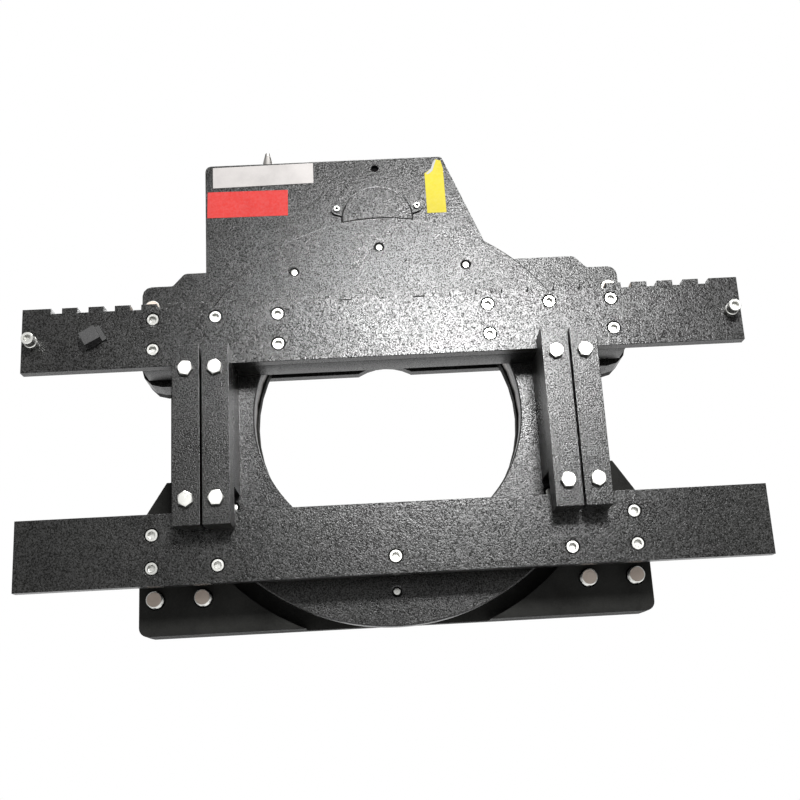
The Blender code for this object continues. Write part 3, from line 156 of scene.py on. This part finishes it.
YELLOW = coating("plain_yellow_sticker", (0.25, 0.21, 0.013), (0.29, 0.25, 0.017),
                 rough=(0.55, 0.65), grain=300, relief=0.05, specular=(0.08, 0.2))
PAPER = coating("torn_paper", (0.2, 0.2, 0.19), (0.24, 0.24, 0.23),
                rough=(0.6, 0.7), grain=300, relief=0.1, specular=(0.1, 0.2))


# Meshes
def evaluated(thing):
    """The mesh of an object with its modifiers applied; the object goes."""
    bpy.context.view_layer.update()
    graph = bpy.context.evaluated_depsgraph_get()
    mesh = bpy.data.meshes.new_from_object(thing.evaluated_get(graph))
    bpy.data.objects.remove(thing, do_unlink=True)
    return mesh


def loose(data):
    thing = bpy.data.objects.new("work", data)
    bpy.context.scene.collection.objects.link(thing)
    return thing


def as_mesh(work, name):
    mesh = bpy.data.meshes.new(name)
    work.to_mesh(mesh)
    work.free()
    return mesh


def cleaned(mesh):
    work = bmesh.new()
    work.from_mesh(mesh)
    bmesh.ops.remove_doubles(work, verts=work.verts, dist=2e-6)
    bmesh.ops.recalc_face_normals(work, faces=work.faces)
    work.to_mesh(mesh)
    work.free()
    return mesh


def mm(points):
    return [(x * MM, y * MM) for x, y in points]


def profile(level, points):
    """Lathe points in metres from (radius, height above a level) in millimetres."""
    return [(r * MM, level + z * MM) for r, z in points]


def circle(radius, steps, centre=(0, 0)):
    angles = [2 * pi * i / steps for i in range(steps)]
    return [(centre[0] + radius * cos(a), centre[1] + radius * sin(a)) for a in angles]


def arc(radius, first, last, steps, centre=(0, 0)):
    angles = [first + (last - first) * i / steps for i in range(steps + 1)]
    return [(centre[0] + radius * cos(a), centre[1] + radius * sin(a)) for a in angles]


def rounded(corners, after, steps=6):
    """An open outline from a first point and (x, y, corner radius) points, which runs on to a last one."""
    outline = [corners[0][:2]]
    for before, (x, y, radius), following in zip(corners, corners[1:], corners[2:] + [after]):
        corner = Vector((x, y))
        first = (Vector(before[:2]) - corner).normalized()
        last = (Vector(following[:2]) - corner).normalized()
        half = first.angle(last) / 2
        centre = corner + (first + last).normalized() * radius / sin(half)
        begin = corner + first * radius / tan(half) - centre
        end = corner + last * radius / tan(half) - centre
        angle = atan2(begin.y, begin.x)
        sweep = (atan2(end.y, end.x) - angle + pi) % (2 * pi) - pi
        outline += arc(radius, angle, angle + sweep, steps, centre)
    return outline


def slab(outlines, low, high, chamfer):
    """A flat outline with holes between two levels, all its edges broken by a small chamfer."""
    curve = bpy.data.curves.new("outline", "CURVE")
    curve.dimensions = "2D"
    curve.fill_mode = "BOTH"
    for points in outlines:
        spline = curve.splines.new("POLY")
        spline.points.add(len(points) - 1)
        for point, (x, y) in zip(spline.points, points):
            point.co = (x, y, 0, 1)
        spline.use_cyclic_u = True
    curve.extrude = (high - low) / 2 - chamfer
    curve.bevel_depth = chamfer
    curve.bevel_resolution = 1
    curve.offset = -chamfer
    mesh = evaluated(loose(curve))
    bpy.data.curves.remove(curve)
    mesh.transform(Matrix.Translation((0, 0, (low + high) / 2)))
    return cleaned(mesh)


def turned(points, steps=32):
    """A lathe shape from (radius, height) points; one that starts off the axis is closed to a ring."""
    mesh = bpy.data.meshes.new("profile")
    edges = [(i, i + 1) for i in range(len(points) - 1)]
    if points[0][0] > 0:
        edges.append((len(points) - 1, 0))
    mesh.from_pydata([(r, 0, z) for r, z in points], edges, [])
    thing = loose(mesh)
    screw = thing.modifiers.new("turn", "SCREW")
    screw.steps = steps
    screw.render_steps = steps
    screw.use_merge_vertices = True
    screw.merge_threshold = 1e-6
    return cleaned(evaluated(thing))


def column(radius, top, foot, steps=32):
    return turned([(0, top), (radius, top), (radius, foot), (0, foot)], steps)


def combined(first, second, operation):
    thing = loose(first)
    tool = loose(second)
    step = thing.modifiers.new("step", "BOOLEAN")
    step.object = tool
    step.operation = operation
    step.solver = "EXACT"
    mesh = evaluated(thing)
    bpy.data.objects.remove(tool, do_unlink=True)
    return mesh


def threaded(radius, pitch, depth, low, high, steps, chamfer):
    """A rod with a helical thread and chamfered ends."""
    rows = max(4, round((high - low) / (pitch / 6)))
    work = bmesh.new()
    rings = []
    for k in range(rows + 1):
        z = low + (high - low) * k / rows
        ends = min(z - low, high - z)
        ring = []
        for i in range(steps):
            phase = (z / pitch - i / steps) % 1
            r = min(radius - depth * abs(2 * phase - 1), radius - chamfer + ends)
            angle = 2 * pi * i / steps
            ring.append(work.verts.new((r * cos(angle), r * sin(angle), z)))
        rings.append(ring)
    for lower, upper in zip(rings, rings[1:]):
        for i in range(steps):
            work.faces.new((lower[i - 1], lower[i], upper[i], upper[i - 1]))
    work.faces.new(list(reversed(rings[0])))
    work.faces.new(rings[-1])
    return as_mesh(work, "thread")


def placed(mesh, matrices):
    """Copies of a mesh, one for each matrix or offset, in one mesh."""
    work = bmesh.new()
    for matrix in matrices:
        copy = mesh.copy()
        copy.transform(matrix if isinstance(matrix, Matrix) else Matrix.Translation(matrix))
        work.from_mesh(copy)
        bpy.data.meshes.remove(copy)
    return as_mesh(work, "copies")


def block(low, high, edge=0.6 * MM):
    work = bmesh.new()
    bmesh.ops.create_cube(work, size=1)
    bmesh.ops.scale(work, vec=[b - a for a, b in zip(low, high)], verts=work.verts)
    bmesh.ops.translate(work, vec=[(a + b) / 2 for a, b in zip(low, high)], verts=work.verts)
    bmesh.ops.bevel(work, geom=work.edges, offset=edge, segments=2, affect="EDGES", profile=0.6)
    return as_mesh(work, "block")


def cap_screw(radius, head_r, head_t, reach):
    """A cap screw with a hexagon socket, its head's top at z = 0."""
    depth = 0.55 * head_t
    edge = 0.08 * head_r
    points = [(0, 0), (head_r - edge, 0), (head_r, -edge), (head_r, -head_t), (radius, -head_t)]
    body = turned(points + [(radius, -head_t - reach), (0, -head_t - reach)])
    socket = slab([circle(0.6 * head_r, 6)], -depth, head_t, 0.01 * MM)
    flare = turned([(0, MM), (0.68 * head_r, MM), (0.52 * head_r, -0.1 * head_t), (0, -0.1 * head_t)], 24)
    return combined(combined(body, socket, "DIFFERENCE"), flare, "DIFFERENCE")


def hex_head(flats, height, foot):
    """A hexagon head with a chamfered crown and a washer face."""
    corner = flats / sqrt(3)
    crown = [(0, height), (0.47 * flats, height), (corner + 0.2 * MM, 0.78 * height)]
    crown += [(corner + 0.2 * MM, 0.06 * height), (0.49 * flats, 0), (0, 0)]
    head = combined(slab([circle(corner, 6)], 0, height, 0.05 * MM), turned(crown, 48), "INTERSECT")
    head.transform(Matrix.Translation((0, 0, foot)))
    return head


def piece(name, groups, body, nodes=(), lay=LAY):
    """One object from (mesh, material) groups; it rides on a body and may stand for CAD nodes."""
    work = bmesh.new()
    made = bpy.data.meshes.new(name)
    for number, (mesh, material) in enumerate(groups):
        before = len(work.faces)
        work.from_mesh(mesh)
        work.faces.ensure_lookup_table()
        for face in work.faces[before:]:
            face.material_index = number
        made.materials.append(material)
    work.to_mesh(made)
    work.free()
    made.transform(lay)
    made.shade_smooth()
    made.set_sharp_from_angle(angle=SHARP)
    thing = bpy.data.objects.new(name, made)
    bpy.context.scene.collection.objects.link(thing)
    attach(thing, body)
    if nodes:
        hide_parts(*nodes)


# Rotating disc
DISC_R = 311 * MM
DISC_CHAMFER = 2 * MM
WINDOW_R = 196 * MM
WINDOW_TOP = 178 * MM
BOLT_CIRCLE_R = 262.5 * MM
BOLT_HOLE_R = 6.4 * MM
rear, front = levels("rotor_disc")
ring_angles = [pi / 2 + pi * i / 6 for i in range(12)]
ring_spots = [(BOLT_CIRCLE_R * cos(a), BOLT_CIRCLE_R * sin(a)) for a in ring_angles]
window = [(x, min(y, WINDOW_TOP)) for x, y in circle(WINDOW_R, 144)]
outlines = [circle(DISC_R, 192), window] + [circle(BOLT_HOLE_R, 24, spot) for spot in ring_spots]
piece("disc_plate", [(slab(outlines, rear, front, DISC_CHAMFER), PAINT)], "rotor", ["rotor_disc"])

# Ends of the disc's bolts, each ringed by a dark sheet of painted shade in the gap round it
bolt_top = levels("slewing_gear_ring")[1]
tip = turned(profile(bolt_top, [(0, 0.4), (3.6, 0.4), (4.7, 0.2), (4.7, 0), (0, 0)]), 24)
gap_shade = turned(profile(bolt_top, [(6.38, 0.15), (6.38, -1), (4.75, -1), (4.75, 0.15)]), 32)
spots = [(x, y, 0) for x, y in ring_spots]
groups = [(placed(tip, spots), ZINC), (placed(gap_shade, spots), PAINTED_SHADE)]
piece("ring_bolt_ends", groups, "rotor")

# Fork bars
HALF_W = 520 * MM
HALF_H = 203.5 * MM
UPPER_LOW = 107.5 * MM
LOWER_HIGH = -105 * MM
BAR_CHAMFER = 0.7 * MM
SCREW_R = 6 * MM
SCREW_HEAD_R = 8.8 * MM
SCREW_HEAD_T = 12 * MM
COUNTERBORE_R = 10 * MM
SCREW_COLUMNS = [(152.5 + 90 * i) * MM for i in range(3)]
INNER_ROW = 134 * MM
OUTER_ROW = 179.5 * MM
NOTCH_COUNT = 12
NOTCH_FIRST = 53 * MM
NOTCH_PITCH = 38 * MM
NOTCH_HALF_W = 7.75 * MM
NOTCH_DEPTH = 8 * MM
STOP_X = 504 * MM
STOP_Y = 151 * MM
SCREW_HOLE_R = 6.6 * MM
rear, front = levels("upper_fork_bar")
spacer_rear = levels("upper_bar_spacer")[0]
spacer_front = rear - 0.3 * MM
upper_spots = [(s * x, INNER_ROW) for s in (-1, 1) for x in (SCREW_COLUMNS[0], SCREW_COLUMNS[2])]
upper_spots += [(s * x, OUTER_ROW) for s in (-1, 1) for x in SCREW_COLUMNS]
lower_spots = [(s * SCREW_COLUMNS[2], -INNER_ROW) for s in (-1, 1)]
lower_spots += [(s * x, -OUTER_ROW) for s in (-1, 1) for x in SCREW_COLUMNS[1:]] + [(0, -OUTER_ROW)]


def notched_edge():
    """The upper bar's top edge from right to left, with a round notch in the middle."""
    floor = HALF_H - NOTCH_DEPTH
    right = []
    for i in reversed(range(NOTCH_COUNT)):
        x = NOTCH_FIRST + NOTCH_PITCH * i
        high_x = x + NOTCH_HALF_W
        low_x = x - NOTCH_HALF_W
        right += [(high_x, HALF_H), (high_x, floor), (low_x, floor), (low_x, HALF_H)]
    left = [(-x, y) for x, y in reversed(right)]
    return right + arc(NOTCH_DEPTH, 2 * pi, pi, 16, (0, HALF_H)) + left


def bar(name, shape, spots, extra, node):
    """A fork bar with a counterbore for each screw."""
    holes = [circle(COUNTERBORE_R, 32, spot) for spot in spots] + extra
    plate = slab([shape] + holes, rear, front, BAR_CHAMFER)
    seat_level = front - SCREW_HEAD_T - 0.6 * MM
    back = rear + 0.2 * MM
    outer_r = COUNTERBORE_R + 0.05 * MM
    points = [(outer_r, seat_level), (outer_r, back), (SCREW_HOLE_R, back), (SCREW_HOLE_R, seat_level)]
    seat = turned(points)
    seats = placed(seat, [(x, y, 0) for x, y in spots])
    piece(name, [(plate, PAINT), (seats, PAINT)], "rotor", [node], lay=DROP)


shape = [(HALF_W, UPPER_LOW), (HALF_W, HALF_H)] + notched_edge() + [(-HALF_W, HALF_H), (-HALF_W, UPPER_LOW)]
stop_holes = [circle(SCREW_HOLE_R, 24, (s * STOP_X, STOP_Y)) for s in (-1, 1)]
bar("upper_bar", shape, upper_spots, stop_holes, "upper_fork_bar")
shape = [(HALF_W, -HALF_H), (HALF_W, LOWER_HIGH), (-HALF_W, LOWER_HIGH), (-HALF_W, -HALF_H)]
bar("lower_bar", shape, lower_spots, [], "lower_fork_bar")

# Spacers behind the bars, with the bars' screws
screw = cap_screw(SCREW_R, SCREW_HEAD_R, SCREW_HEAD_T, front - spacer_front - SCREW_HEAD_T)
for name, spots in (("upper_bar_spacer", upper_spots), ("lower_bar_spacer", lower_spots)):
    low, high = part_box(name)
    body = block((low.x, low.z - AXIS_Z, spacer_rear), (high.x, high.z - AXIS_Z, spacer_front))
    body.transform(Matrix.Translation((0, CARRIAGE_DROP, 0)))
    turns = []
    for i, (x, y) in enumerate(spots):
        turns.append(Matrix.Translation((x, y, front - 0.4 * MM)) @ Matrix.Rotation(1.7 * i, 4, "Z"))
    piece(name + "_and_screws", [(body, PAINT), (placed(screw, turns), ZINC)], "rotor", [name], lay=DROP)

# Hexagon bolts through the tie bars
tie_rear, tie_front = levels("left_inner_tie_bar")
head = hex_head(19 * MM, 7.5 * MM, tie_front + 0.3 * MM)
shank = column(6 * MM, tie_front + 3 * MM, tie_rear - 20 * MM, 24)
for word in SIDES:
    for i in range(4):
        name = word + "_tie_bolt_" + str(i + 1)
        turn = Matrix.Translation(middle(name)) @ Matrix.Rotation(radians(17) * i, 4, "Z")
        groups = [(placed(head, [turn]), ZINC), (placed(shank, [turn]), ZINC)]
        piece(name + "_head", groups, "rotor", [name])

# Studs of the truck's hooks, shorter in front than their solids
STUD_R = 12 * MM
STUD_SHORTER = 8 * MM
STUD_THREAD_L = 34 * MM
STUD_HEAD_T = 15 * MM
for name in [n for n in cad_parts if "_stud" in n]:
    centre = middle(name)
    back, tip_level = levels(name)
    tip_level -= STUD_SHORTER
    thread_low = tip_level - STUD_THREAD_L
    thread = threaded(STUD_R, 3 * MM, 1.5 * MM, thread_low, tip_level, 40, 1.5 * MM)
    end = column(10.2 * MM, tip_level + 0.1 * MM, tip_level - MM)
    smooth = column(10.6 * MM, thread_low + MM, back + 10 * MM)
    head = hex_head(29.4 * MM, STUD_HEAD_T, back)
    flip = Matrix.Translation((0, 0, 2 * back + STUD_HEAD_T)) @ Matrix.Rotation(pi, 4, "X")
    groups = [(placed(thread, [centre]), ZINC), (placed(smooth, [centre]), ZINC)]
    groups += [(placed(head, [Matrix.Translation(centre) @ flip]), ZINC), (placed(end, [centre]), STUD_END)]
    piece(name + "_bolt", groups, "fixed_frame", [name])

# End stops
for word, side in SIDES.items():
    name = word + "_end_stop"
    back, top = levels(name)
    collar = turned(profile(front, [(0, 11), (8.5, 11), (9.4, 10), (9.4, 0.4), (0, 0.4)]))
    screw = cap_screw(SCREW_R, SCREW_HEAD_R, SCREW_HEAD_T, top - SCREW_HEAD_T - back)
    groups = [(placed(screw, [(side * STOP_X, STOP_Y, top)]), ZINC)]
    groups.append((placed(collar, [(side * STOP_X, STOP_Y, 0)]), ZINC))
    piece(name + "_screw", groups, "rotor", [name], lay=DROP)

# Pinion cover: a chamfered dome, cut off along the disc's rim, with an ear for each screw
DOME = (0, 313.5 * MM)
DOME_R = 56 * MM
DOME_CHAMFER = 2.6 * MM
DOME_EDGE_R = 313 * MM
EAR_X = 62.5 * MM
EAR_Y = 333.5 * MM
EAR_R = 9 * MM
EAR_HOLE_R = 3.3 * MM
back, top = levels("pinion_cover")
meet_y = (DOME_EDGE_R ** 2 + DOME[1] ** 2 - DOME_R ** 2) / (2 * DOME[1])
meet_x = sqrt(DOME_EDGE_R ** 2 - meet_y ** 2)
first = atan2(meet_y - DOME[1], meet_x)
side = atan2(meet_y, meet_x)
crown = arc(DOME_R, first, pi - first, 72, DOME) + arc(DOME_EDGE_R, pi - side, side, 40)[1:-1]
ears = []
for s in (-1, 1):
    spot = Vector((s * EAR_X, EAR_Y))
    root = spot.lerp(Vector(DOME), 0.3)
    way = atan2(spot.y - root.y, spot.x - root.x)
    ear = arc(EAR_R, way - pi / 2, way + pi / 2, 20, spot)
    ear += arc(EAR_R, way + pi / 2, way + 1.5 * pi, 8, root)
    ears.append((slab([ear, circle(EAR_HOLE_R, 20, spot)], back, (back + top) / 2, 0.6 * MM), PAINT))
dome = slab([crown], back, top, DOME_CHAMFER)
piece("pinion_dome", [(dome, PAINT)] + ears, "fixed_frame", ["pinion_cover"])

# Corner plates below the disc, with a clearance hole round each stud
CORNER_ARC_R = 332.5 * MM
FOOT_X = 367 * MM
FOOT_LOW = -305.5 * MM
WAIST_LOW = -85 * MM
STUD_HOLE_R = 13.6 * MM
STUD_MIDDLE_X = 309.5 * MM
STUD_HALF_GAP = 34 * MM
STUD_Y = -255 * MM
rear, front = levels("lower_left_corner_plate")
corners = [(328 * MM, WAIST_LOW, 12 * MM), (358 * MM, -132 * MM, 12 * MM), (FOOT_X, -160 * MM, 20 * MM)]
outline = rounded(corners + [(FOOT_X, FOOT_LOW, 13 * MM)], (-1, FOOT_LOW))
outline += arc(CORNER_ARC_R, asin(FOOT_LOW / CORNER_ARC_R), asin(WAIST_LOW / CORNER_ARC_R), 60)
for word, side in SIDES.items():
    shape = [[(side * x, y) for x, y in outline[::side]]]
    for offset in (-STUD_HALF_GAP, STUD_HALF_GAP):
        shape.append(circle(STUD_HOLE_R, 40, (side * (STUD_MIDDLE_X + offset), STUD_Y)))
    plate = slab(shape, rear, front, 0.8 * MM)
    name = word + "_corner_plate"
    piece("lower_cut_" + name, [(plate, LOW_PAINT)], "fixed_frame", ["lower_" + name])

# Lower hooks, their foot a little above the plate's lower edge
HOOK_RISE = 7 * MM
ROOM = Vector((5 * MM, 5 * MM, 5 * MM))
for word in SIDES:
    name = "lower_" + word + "_hook"
    low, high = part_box(name)
    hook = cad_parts[name].data.copy()
    hook.transform(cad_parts[name].matrix_world)
    below = block(low - ROOM, (high.x + ROOM.x, high.y + ROOM.y, low.z + HOOK_RISE))
    hook = cleaned(combined(hook, below, "DIFFERENCE"))
    piece(name + "_block", [(hook, LOW_PAINT)], "fixed_frame", [name], lay=Matrix())

# Port adapters of the motor, with a nut and a flared end
ADAPTER_H = 48 * MM
ADAPTER_SHIFT = 6.5 * MM
for word in ("front", "rear"):
    name = word + "_port_adapter"
    low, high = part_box(name)
    points = profile(low.z + ADAPTER_H, [(0, -1), (3, -1), (3.3, 0), (4.1, 0), (8.2, -17)])
    stem = turned(points + profile(low.z, [(8.2, 6), (0, 6)]), 40)
    nut = slab([circle(11 * MM, 6)], low.z, low.z + 12 * MM, 0.8 * MM)
    lay = Matrix.Translation(((low.x + high.x) / 2 + ADAPTER_SHIFT, (low.y + high.y) / 2, 0))
    piece(name + "_fitting", [(stem, STEEL), (nut, ZINC)], "fixed_frame", [name], lay=lay)

# Threaded service hole near the panel's top; its thread and a closed floor are near-black painted shade, so
# that it reads as deep
SERVICE_HOLE = (0, 403 * MM, 0)
rear, front = levels("housing_cover")
ridges = profile(front, [(6.2 if i % 2 else 5.3, -0.8 - 0.7 * i) for i in range(10)])
closing = [(0, ridges[-1][1]), (0, rear - 0.1 * MM), (6.25 * MM, rear - 0.1 * MM)]
sleeve = turned([(6.25 * MM, front - 0.8 * MM)] + ridges + closing, 40)
piece("service_hole_thread", [(placed(sleeve, [SERVICE_HOLE]), PAINTED_SHADE)], "fixed_frame")

# Screws of the pinion cover, with a disc of painted shade at the bottom of each socket
COVER_SCREW_R = 3 * MM
COVER_HEAD_R = 4.6 * MM
COVER_HEAD_T = 4 * MM
for word in SIDES:
    name = "pinion_cover_" + word + "_screw"
    back, top = levels(name)
    screw = cap_screw(COVER_SCREW_R, COVER_HEAD_R, COVER_HEAD_T, top - COVER_HEAD_T - back)
    pit_shade = column(2.3 * MM, -2 * MM, -2.4 * MM, 24)
    spot = middle(name, top)
    piece(name + "_head", [(placed(screw, [spot]), ZINC), (placed(pit_shade, [spot]), PAINTED_SHADE)], "fixed_frame", [name])

# Bare plate and plain stickers on the panel
cover_front = levels("housing_cover")[1]


def tag(name, points, lift, thick, material):
    """A thin sheet over the panel, with its lift and thickness in millimetres."""
    low = cover_front + lift * MM
    sheet = slab([mm(points)], low, low + thick * MM, 0.05 * MM)
    piece(name, [(sheet, material)], "fixed_frame")


tag("plain_plate", [(-255, 380.5), (-97.5, 382.5), (-97.2, 417), (-255, 415.5)], 0.05, 0.6, SILVER)
tag("plain_red_label", [(-264.5, 330), (-139, 329), (-138, 372.5), (-263.5, 374)], 0.05, 0.25, RED)
tear = [(95.6, 414.5), (92, 408), (88, 397.9)]
sticker = [(78.4, 322.4), (108.6, 322.3), (107.6, 398), (104.5, 412)] + tear + [(78, 390.5)]
tag("plain_yellow_label", sticker, 0.05, 0.25, YELLOW)
torn = [(80, 389.5), (84, 389), (91, 395), (94, 404), (97, 412)] + tear
tag("torn_label_edge", torn, 0.25, 0.2, PAPER)

# Materials of the CAD nodes that show, with softly broken edges
finishes = {
    STEEL: ["slewing_inner_ring", "slewing_gear_ring", "ball_cage", "pinion", "pinion_front_bearing",
            "pinion_rear_bearing", "worm", "worm_left_bearing", "worm_right_bearing", "locating_lug"],
    CAST: ["hydraulic_motor", "motor_flange", "motor_end_cap", "motor_port_block"],
    ZINC: ["front_port_adapter", "rear_port_adapter"],
    BRONZE: ["worm_wheel"],
    PLASTIC: ["plastic_plug"],
    LOW_PAINT: ["base_plate"],
    SMOOTH_PAINT: ["worm_case", "worm_case_cover", "worm_end_cap"],
}
chosen = {node: material for material, nodes in finishes.items() for node in nodes}
for name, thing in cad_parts.items():
    material = chosen.get(name, PAINT)
    for place in thing.material_slots:
        place.material = material
    if material is not STEEL:
        weld = thing.modifiers.new("weld", "WELD")
        weld.merge_threshold = 5e-6
        edge = thing.modifiers.new("edge", "BEVEL")
        edge.width = 0.6 * MM
        edge.segments = 2
        edge.limit_method = "ANGLE"
        edge.angle_limit = radians(40)
        edge.harden_normals = True

# Floor
work = bmesh.new()
bmesh.ops.create_circle(work, cap_ends=True, segments=96, radius=1.5)
floor_mesh = as_mesh(work, "floor")
floor_mesh.materials.append(coating("pale_floor", (0.82, 0.82, 0.82), (0.86, 0.86, 0.86),
                                    rough=(0.7, 0.8), grain=60, relief=0.05))
floor = bpy.data.objects.new("floor", floor_mesh)
floor.location = (0, 0.1, -0.86)
bpy.context.scene.collection.objects.link(floor)

# White background for the camera and for reflections, a softer fill for the rest
world = bpy.data.worlds.new("studio")
bpy.context.scene.world = world
world.use_nodes = True
tree = world.node_tree
tree.nodes.clear()


def larger(first, second):
    made = tree.nodes.new("ShaderNodeMath")
    made.operation = "MAXIMUM"
    tree.links.new(first, made.inputs[0])
    tree.links.new(second, made.inputs[1])
    return made.outputs[0]


def background(colour, strength):
    made = tree.nodes.new("ShaderNodeBackground")
    made.inputs["Color"].default_value = colour
    made.inputs["Strength"].default_value = strength
    return made.outputs[0]


path = tree.nodes.new("ShaderNodeLightPath")
seen = larger(path.outputs["Is Camera Ray"], path.outputs["Is Glossy Ray"])
mix = tree.nodes.new("ShaderNodeMixShader")
tree.links.new(larger(seen, path.outputs["Is Transmission Ray"]), mix.inputs["Fac"])
tree.links.new(background((0.95, 0.97, 1, 1), 0.55), mix.inputs[1])
tree.links.new(background((1, 1, 1, 1), 1.0), mix.inputs[2])
out = tree.nodes.new("ShaderNodeOutputWorld")
tree.links.new(mix.outputs[0], out.inputs["Surface"])


# Lamps
def lamp(name, place, target, size, power):
    data = bpy.data.lights.new(name, "AREA")
    data.shape = "RECTANGLE"
    data.size, data.size_y = size
    data.energy = power
    thing = bpy.data.objects.new(name, data)
    thing.location = place
    thing.rotation_euler = (Vector(target) - Vector(place)).to_track_quat("-Z", "Y").to_euler()
    bpy.context.scene.collection.objects.link(thing)


lamp("key", (0.32, -2.46, 0.76), target=(0.07, -0.16, 0.0), size=(0.44, 0.42), power=132)
lamp("top", (0.05, -0.65, 1.8), target=(0, -0.1, 0.2), size=(1.6, 0.2), power=65)
lamp("side", (-2.2, -1.2, 1.2), target=(0, -0.1, -0.1), size=(1.0, 1.0), power=4)
lamp("back", (0.6, 2.0, 1.4), target=(0, 0, -0.1), size=(1.2, 1.0), power=30)

# Camera, as fitted to the photograph
PITCH, ROLL, YAW = 0.2758, 0.0558, -0.0255
CAMERA_PLACE = (-0.022, -1.7078, -0.5694)
turn = Matrix.Rotation(YAW, 3, "Z") @ Matrix.Rotation(PITCH, 3, "X") @ Matrix.Rotation(ROLL, 3, "Y")
right, ahead, up = turn.col
camera_data = bpy.data.cameras.new("camera")
camera_data.sensor_width = 36
camera_data.lens = 51.1
camera = bpy.data.objects.new("camera", camera_data)
camera.matrix_world = Matrix.Translation(CAMERA_PLACE) @ Matrix((right, up, -ahead)).transposed().to_4x4()
bpy.context.scene.collection.objects.link(camera)
bpy.context.scene.camera = camera
bpy.context.scene.view_settings.view_transform = "Standard"
